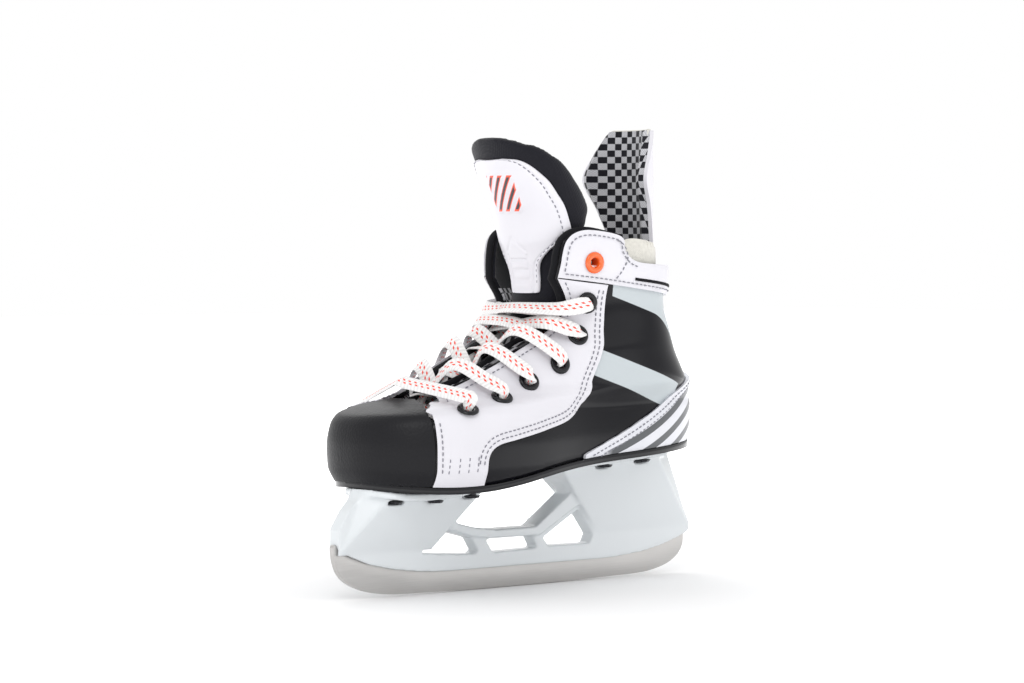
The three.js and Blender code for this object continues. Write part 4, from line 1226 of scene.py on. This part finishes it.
@dataclass
class Tongue:
    """The padded tongue and its white panel."""

    cloth: Shader
    front: Shader
    thread: Shader
    rows: tuple = (
        (-62, 84, 27, 46), (-50, 89, 26, 54), (-33, 96, 26, 58), (-15, 104.5, 26, 56), (-3.5, 114, 26, 52),
        (4, 127, 26, 48), (5.5, 134, 26, 46), (6, 140.5, 26.5, 46), (5.4, 150, 27, 50),
        (2.8, 161, 27.5, 72), (-0.8, 171, 28, 88), (-3, 177, 28.8, 85), (-6, 183.5, 29.8, 79),
        (-9, 190, 31, 72), (-12.5, 197, 32.4, 63), (-15, 203, 33.3, 53), (-17, 208, 34, 41),
        (-18, 211.5, 34, 29), (-18.6, 213.8, 34, 16), (-18.8, 214.6, 34, 6),
    )
    panel_rows: tuple = (
        (6.2, 141, 26.3, 20), (6.1, 142, 26.4, 22), (5.6, 147, 27, 23), (4.6, 152, 27.3, 24),
        (3.4, 156, 27.5, 28), (2.4, 159.5, 27.6, 37), (1.3, 162.5, 27.7, 52), (0.3, 165, 27.8, 61),
        (-0.5, 168, 28, 63), (-1.8, 173, 28.2, 62), (-3.4, 177.5, 28.8, 60), (-5.6, 182.5, 29.7, 56),
        (-9, 190, 31, 50), (-11.6, 196, 32, 42), (-14, 201, 33, 33), (-15, 203.2, 33.2, 26),
        (-15.6, 204.6, 33.4, 15),
    )

    def surface(self, rows: Pairs, across: int, step: float) -> tuple[np.ndarray, np.ndarray]:
        """Points and outward directions over a bowed sheet, rows by columns."""
        line = rounded_line(rows, step)
        along = np.gradient(line[:, :2], axis=0)
        along /= np.linalg.norm(along, axis=1)[:, None]
        normal = np.c_[-along[:, 1], along[:, 0]]
        a = np.radians(line[:, 3])[:, None] * np.linspace(1, -1, across)[None]
        radius = line[:, 2][:, None]
        depth = radius * np.cos(a) - radius
        x, z = line[:, :1] + normal[:, :1] * depth, line[:, 1:2] + normal[:, 1:] * depth
        points = np.stack([x, radius * np.sin(a), z], -1)
        out = np.stack([normal[:, :1] * np.cos(a), np.sin(a), normal[:, 1:] * np.cos(a)], -1)
        return points, out

    def slab(
        self, name: str, points: np.ndarray, out: np.ndarray, front: np.ndarray, back: float
    ) -> bpy.types.Object:
        """A closed sheet with its front raised by front and its back sunk by back."""
        r, c = points.shape[:2]
        face = points + out * front[..., None]
        rear = points - out * back
        cloud = np.vstack([face.reshape(-1, 3), rear.reshape(-1, 3)])
        n = r * c
        faces = []
        for i in range(r - 1):
            for j in range(c - 1):
                q = (i * c + j, i * c + j + 1, (i + 1) * c + j + 1, (i + 1) * c + j)
                faces += [q, tuple(v + n for v in q[::-1])]
        rim = [(0, j) for j in range(c)] + [(i, c - 1) for i in range(1, r)]
        rim += [(r - 1, j) for j in range(c - 2, -1, -1)] + [(i, 0) for i in range(r - 2, 0, -1)]
        ids = [i * c + j for i, j in rim]
        faces += [(a, a + n, b + n, b) for a, b in zip(ids, ids[1:] + ids[:1])]
        piece = mesh_piece(name, cloud, faces)
        outward(piece)
        return piece

    def build(self) -> None:
        """Make the pad, its panel and the panel's stitches."""
        points, out = self.surface(self.rows, 34, 2.2)
        u = np.linspace(-1, 1, 34)[None]
        v = np.linspace(0, 1, len(points))[:, None]
        edge = np.minimum(1 - np.abs(u), np.minimum(v, 1 - v) * 4) * 12
        front = -1.9 * np.clip(1 - edge / 2.0, 0, 1) ** 2 - 0.2
        pad = self.slab("tongue_pad", points, out, np.broadcast_to(front, points.shape[:2]), 4.0)
        finish_with(pad, "REMESH", mode="VOXEL", voxel_size=1.1 * MM)
        finish_with(pad, "SMOOTH", factor=0.5, iterations=6)
        smooth(pad, 70)
        wear(pad, self.cloth)
        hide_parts("tongue_lower", "tongue_upper")
        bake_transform(pad)
        LOG.info("tongue_pad bends from boot to tongue_top")
        self.panel()

    def panel(self) -> None:
        """The white front panel with raised ribs, an arrow and slanted bars."""
        across = 90
        points, out = self.surface(self.panel_rows, across, 0.6)
        z = points[..., 2]
        y = points[..., 1]
        half = np.abs(y[:, :1])
        edge = half - np.abs(y)
        front = np.full(z.shape, 1.35)
        front -= 0.9 * np.clip(1 - edge / 1.2, 0, 1) ** 2
        ladder = (np.abs(y) < 5.6) & (z > 139) & (z < 158.5)
        front -= 0.5 * (ladder & (np.mod(z, 4.9) < 1.1))
        front -= 0.45 * (np.abs(np.abs(y) - 6.4) < 0.5) * ((z > 138) & (z < 160))
        chevron = z - (168 - np.abs(y) * 1.05)
        front -= 0.5 * ((np.abs(chevron) < 0.75) & (np.abs(y) < 6.4))
        front -= 0.4 * np.exp(-(((edge - 2.4) / 0.5) ** 2))
        motif = (np.abs(y + 3) < 8.5) & (z > 180) & (z < 197)
        front += 0.4 * (motif & (np.mod(z + y * 1.3, 7.0) < 4.0))
        for _ in range(2):
            front[1:-1, 1:-1] = (front[1:-1, 1:-1] * 2 + front[:-2, 1:-1] + front[2:, 1:-1]
                                 + front[1:-1, :-2] + front[1:-1, 2:]) / 6
        piece = self.slab("tongue_front", points, out, front, -0.3)
        smooth(piece, 60)
        wear(piece, self.front)
        place(piece, "tongue_top", "tongue_panel", ["tongue_panel"])
        span, columns = slice(8, len(points) - 6), (6, across - 7)
        seam = [points[span, column] + out[span, column] * 1.15 for column in columns]
        row = thread_row("tongue_stitches", seam, [out[span, column] for column in columns])
        wear(row, self.thread)
        place(row, "tongue_top", "tongue_panel")


@dataclass
class TendonGuard:
    """The flexible plate up the back, its lining and its soft edge."""

    shell: Shader
    check: Shader
    cream: Shader
    rows: tuple = ((157.5, 83.4, 22, 46), (168, 82.6, 22, 50), (182, 82, 23.5, 60), (196, 81.6, 25, 72),
                   (208, 81.4, 25, 60), (216, 81.6, 25, 48), (220.5, 81.8, 25, 38))

    def sheet(
        self, name: str, outer: float, inner: float, columns: int = 40
    ) -> tuple[bpy.types.Object, np.ndarray]:
        """A bowed plate between two depths.

        Args:
            name: the piece's name.
            outer: depth of its outer face in millimetres.
            inner: depth of its inner face.
            columns: points across the plate.

        Returns:
            The piece, and the middle line of its rim.
        """
        line = rounded_line(self.rows, 1.6)
        a = np.radians(line[:, 3])[:, None] * np.linspace(-1, 1, columns)[None]
        clouds = []
        for depth in (outer, inner):
            r = line[:, 2][:, None] - depth
            x = line[:, 1][:, None] - line[:, 2][:, None] + r * np.cos(a)
            clouds.append(np.stack([x, r * np.sin(a), np.broadcast_to(line[:, :1], a.shape)], -1))
        r, c = a.shape
        n = r * c
        faces = []
        for i in range(r - 1):
            for j in range(c - 1):
                q = (i * c + j, i * c + j + 1, (i + 1) * c + j + 1, (i + 1) * c + j)
                faces += [q, tuple(v + n for v in q[::-1])]
        rim = [(0, j) for j in range(c)] + [(i, c - 1) for i in range(1, r)]
        rim += [(r - 1, j) for j in range(c - 2, -1, -1)] + [(i, 0) for i in range(r - 2, 0, -1)]
        middle = np.array([(clouds[0][i, j] + clouds[1][i, j]) / 2 for i, j in rim])
        ids = [i * c + j for i, j in rim]
        faces += [(p, p + n, q + n, q) for p, q in zip(ids, ids[1:] + ids[:1])]
        piece = mesh_piece(name, np.vstack([x.reshape(-1, 3) for x in clouds]), faces)
        uv = piece.data.uv_layers.new(name="lay")
        for loop in piece.data.loops:
            p = piece.data.vertices[loop.vertex_index].co
            uv.data[loop.index].uv = (p.y, p.z)
        outward(piece)
        smooth(piece, 50)
        return piece, middle

    def build(self) -> None:
        """Make the plate, the lining and the rolled edge."""
        shell, _ = self.sheet("guard_shell", 0.0, 1.9)
        wear(shell, self.shell)
        place(shell, "guard", "tendon_guard", ["tendon_guard"])
        lining, ring = self.sheet("guard_felt", 2.0, 5.4)
        wear(lining, self.check)
        place(lining, "guard", "guard_lining", ["tendon_guard_lining"])
        ring[:, 0] += 1.8
        low = int(np.argmin(ring[:, 2] + (ring[:, 1] < 0) * 5))
        ring = np.roll(ring, -low, axis=0)
        ring = ring[ring[:, 2] > 160]
        line = rounded_line(ring[::2], 1.0)
        backwards, halves = np.tile([1.0, 0.01, 0.02], (len(line), 1)), np.tile([0.7, 1.2], (len(line), 1))
        edge = sweep("guard_edge", line, backwards, halves)
        wear(edge, self.cream)
        place(edge, "guard", "tendon_guard")


# ---- laces -----------------------------------------------------------------------------------------------


@dataclass
class Lacing:
    """The flat lace through the black eyelets, its ends, their hank and tie."""

    nodes: dict
    braid: Shader
    rubber: Shader
    film: Shader
    half_width: float = 4.0
    half_thick: float = 0.7

    def route(self) -> np.ndarray:
        """The lace's centre line in millimetres, ring by ring along its CAD tube from the medial end."""
        tube = self.nodes["lace"]
        shape = tube.data
        at = np.array([tuple(tube.matrix_world @ v.co) for v in shape.vertices]) / MM
        points, ids = np.unique(np.round(at, 3), axis=0, return_inverse=True)
        ids = ids.ravel()
        beside = [set() for _ in points]
        for face in shape.polygons:
            corners = [int(ids[v]) for v in face.vertices]
            for corner in corners:
                beside[corner].update(corners)

        def walk(start: set[int]) -> list[list[int]]:
            levels, seen, front = [], set(start), set(start)
            while front:
                levels.append(sorted(front))
                front = set().union(*(beside[v] for v in front)) - seen
                seen |= front
            return levels

        far = walk({0})[-1][0]
        ends = [far, walk({far})[-1][0]]
        first = max(ends, key=lambda v: points[v, 1])
        ring = np.argsort(np.linalg.norm(points - points[first], axis=1))[:TUBE_SIDES]
        return np.array([points[level].mean(0) for level in walk({int(v) for v in ring})])

    def ups(self, line: np.ndarray) -> np.ndarray:
        """Directions away from the boot's middle, carried along where the lace dives into an eyelet."""
        base, along_boot = np.array([-70.0, 0, 62.0]), np.array([120.0, 0, 84.0])
        along_boot /= np.linalg.norm(along_boot)
        rel = line - base
        out = rel - (rel @ along_boot)[:, None] * along_boot
        out /= np.linalg.norm(out, axis=1)[:, None]
        tangent = np.gradient(line, axis=0)
        tangent /= np.linalg.norm(tangent, axis=1)[:, None]
        carried = [out[0]]
        for o, t in zip(out[1:], tangent[1:]):
            last = carried[-1] - carried[-1].dot(t) * t
            want = o - o.dot(t) * t
            weight = min(1.0, np.linalg.norm(want) ** 2) * 0.45
            mixed = last / (np.linalg.norm(last) + 1e-9) * (1 - weight) + want * weight
            carried.append(mixed / (np.linalg.norm(mixed) + 1e-9))
        return np.array(carried)

    def build(self) -> None:
        """Make the lacing and its stowed ends."""
        line = rounded_line(self.route(), 0.9)
        for _ in range(6):
            line[1:-1] = (line[:-2] + line[1:-1] * 2 + line[2:]) / 4
        spots = np.array([LAST.at(x, z, side.value) + LAST.normal(x, z, side.value) * -1.0
                          for side in Side for x, z in eyelet_spots(side.value)[:-1]])
        near = away(line, spots)
        open_share = np.clip((near - 3.0) / 7.0, 0, 1)
        width = 1.9 + (self.half_width - 1.9) * open_share
        thick = 1.25 + (self.half_thick - 1.25) * open_share
        piece = sweep("lace_braid", line, self.ups(line), np.c_[width, thick], 14)
        wear(piece, self.braid)
        place(piece, "boot", "lace", ["lace"])
        self.stowed()

    def stowed(self) -> None:
        """The two ends, run down inside the boot into a tied hank on the footbed."""
        for which in Side:
            side, tag = which.value, which.name.lower()
            start = LAST.at(*eyelet_spots(side)[5], side) + LAST.normal(*eyelet_spots(side)[5], side) * -12.5
            fall = ((27, 20, 128), (33, 17, 112), (34, 12, 100), (31, 7.5, 91))
            drop = [tuple(start), *((x, y * side, z) for x, y, z in fall)]
            runs = []
            for k in range(5):
                z = 87.0 - 2.5 * k
                ends = (36.0, 80.0) if k % 2 == 0 else (80.0, 36.0)
                runs += [(x, 4.6 * side, z) for x in (ends[0], sum(ends) / 2, ends[1])]
            line = rounded_line([*drop, *runs], 1.4)
            for _ in range(3):
                line[1:-1] = (line[:-2] + line[1:-1] * 2 + line[2:]) / 4
            up = np.tile([0.05, 0.02, 1.0], (len(line), 1))
            steep = np.abs(np.gradient(line[:, 2])) > 0.8
            up[steep] = [1.0, 0.0, 0.2]
            piece = sweep(f"stowed_end_{tag}", line, up, np.tile([3.2, 0.72], (len(line), 1)), 12)
            wear(piece, self.braid)
            nodes = [f"lace_end_{tag}"] + (["lace_hank"] if side < 0 else [])
            place(piece, "boot", "lace", nodes)
            aglet = self.nodes[f"aglet_{tag}"]
            wear(aglet, self.film)
        wear(self.nodes["lace_tie"], self.rubber)


# ---- stage -----------------------------------------------------------------------------------------------


@dataclass
class Studio:
    """Camera, floor and lights."""

    azimuth: float = -40.0
    lift: float = 1.6
    distance: float = 1.5
    target: tuple = (-0.004, 0.0, 0.116)
    lens: float = 109.86

    def camera(self) -> None:
        """Set the camera."""
        a, e = math.radians(self.azimuth), math.radians(self.lift)
        back = Vector((math.sin(a) * math.cos(e), -math.cos(a) * math.cos(e), math.sin(e)))
        data = bpy.data.cameras.new("camera")
        data.lens = self.lens
        data.sensor_width = 36.0
        data.shift_x = 0.0039
        data.shift_y = 0.0034
        data.clip_end = 20.0
        eye = bpy.data.objects.new("camera", data)
        bpy.context.scene.collection.objects.link(eye)
        eye.location = Vector(self.target) + back * self.distance
        eye.rotation_euler = (-back).to_track_quat("-Z", "Y").to_euler()
        bpy.context.scene.camera = eye

    def lamp(self, name: str, where: tuple, size: float, power: float) -> None:
        """One soft lamp aimed at the boot."""
        data = bpy.data.lights.new(name, "AREA")
        data.shape = "DISK"
        data.size = size
        data.energy = power
        made = bpy.data.objects.new(name, data)
        bpy.context.scene.collection.objects.link(made)
        made.location = where
        made.rotation_euler = (Vector(self.target) - Vector(where)).to_track_quat("-Z", "Y").to_euler()

    def build(self) -> None:
        """Lay the floor, with a painted glow that grows towards its far edge, and hang the lamps."""
        deselect()
        bpy.ops.mesh.primitive_plane_add(size=12.0, location=(0, 0, -0.0002))
        floor = bpy.context.active_object
        floor.name = "floor"
        s = Shader("floor")
        x, y, _ = s.place()
        # Painted glow: the floor emits light that rises with distance from the skate, so its far part fades into
        # the white backdrop.
        painted_floor_glow = (x * x + y * y) * (1.0 / 360.0**2)
        s.put(Base_Color=s.mix(s.noise(3.0), (0.93, 0.93, 0.935), (0.95, 0.95, 0.955)), Roughness=0.8)
        s.put(Emission_Color=s.mix(painted_floor_glow * painted_floor_glow, (0.0, 0.0, 0.0), (1.0, 1.0, 1.0)), Emission_Strength=0.9)
        wear(floor, s)
        bpy.context.scene.view_settings.view_transform = "Standard"
        world = bpy.data.worlds.new("sky")
        bpy.context.scene.world = world
        world.use_nodes = True
        world.node_tree.nodes["Background"].inputs[0].default_value = (1.0, 1.0, 1.0, 1.0)
        world.node_tree.nodes["Background"].inputs[1].default_value = 1.0
        self.lamp("key", (-1.3, -1.2, 1.5), 0.9, 9.0)
        self.lamp("fill", (0.9, -1.6, 0.9), 1.2, 2.0)
        self.lamp("rim", (0.5, 1.4, 1.4), 1.2, 5.0)


def main() -> None:
    """Build the skate's looks round its frame."""
    logging.basicConfig(level=logging.INFO, format="%(name)s: %(message)s")
    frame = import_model()
    nodes = frame["nodes"]
    studio = Studio()
    studio.camera()
    white = WhiteLeather().dress("white leather")
    check = CheckCloth().dress("check lining")
    cream = Fabric((0.72, 0.70, 0.64), 1.2).dress("cream edge")
    felt = Fabric((0.006, 0.006, 0.008), 0.9, 0.03).dress("black felt")
    front = PrintedLeather().dress("printed tongue leather")
    rubber = Moulding((0.01, 0.01, 0.012), 0.5).dress("matt rubber")
    gloss_black = Moulding((0.006, 0.006, 0.008), 0.2, coat=0.25).dress("gloss black")
    Lacing(nodes, LaceBraid().dress("lace braid"), rubber,
           Moulding((0.75, 0.75, 0.77), 0.2).dress("film")).build()
    Bottom(
        nodes, gloss_black, Fabric((0.05, 0.052, 0.058)).dress("footbed felt"),
        Fabric((0.30, 0.22, 0.14), 1.5, 0.0).dress("fibre board"),
        Moulding((0.67, 0.70, 0.72), 0.26, coat=0.2).dress("holder moulding"),
        Metal((0.66, 0.645, 0.63), 0.36).dress("ground steel"),
        Metal((0.55, 0.55, 0.56), 0.4, (40.0, 40.0, 40.0)).dress("zinc"),
        Metal((0.05, 0.05, 0.055), 0.35, (40.0, 40.0, 40.0)).dress("black rivet"),
    ).build()
    thread = Fabric((0.26, 0.26, 0.30), 0.5, 0.1).dress("thread")
    lining = CheckCloth(black_from=143.0).dress("boot lining")
    Upper(white, PatentLeather().dress("patent leather"), HeelLeather().dress("heel leather"), lining, cream,
          Moulding((0.007, 0.007, 0.009), 0.42, pebble=0.9).dress("grained cap"), thread, felt).build()
    Eyelets(gloss_black, Moulding((0.80, 0.115, 0.012), 0.25, coat=0.5).dress("orange enamel")).build()
    Tongue(CheckCloth(black_from=126.0, level=True).dress("tongue cloth"), front, thread).build()
    TendonGuard(white, check, cream).build()
    studio.build()


if __name__ == "__main__":
    main()
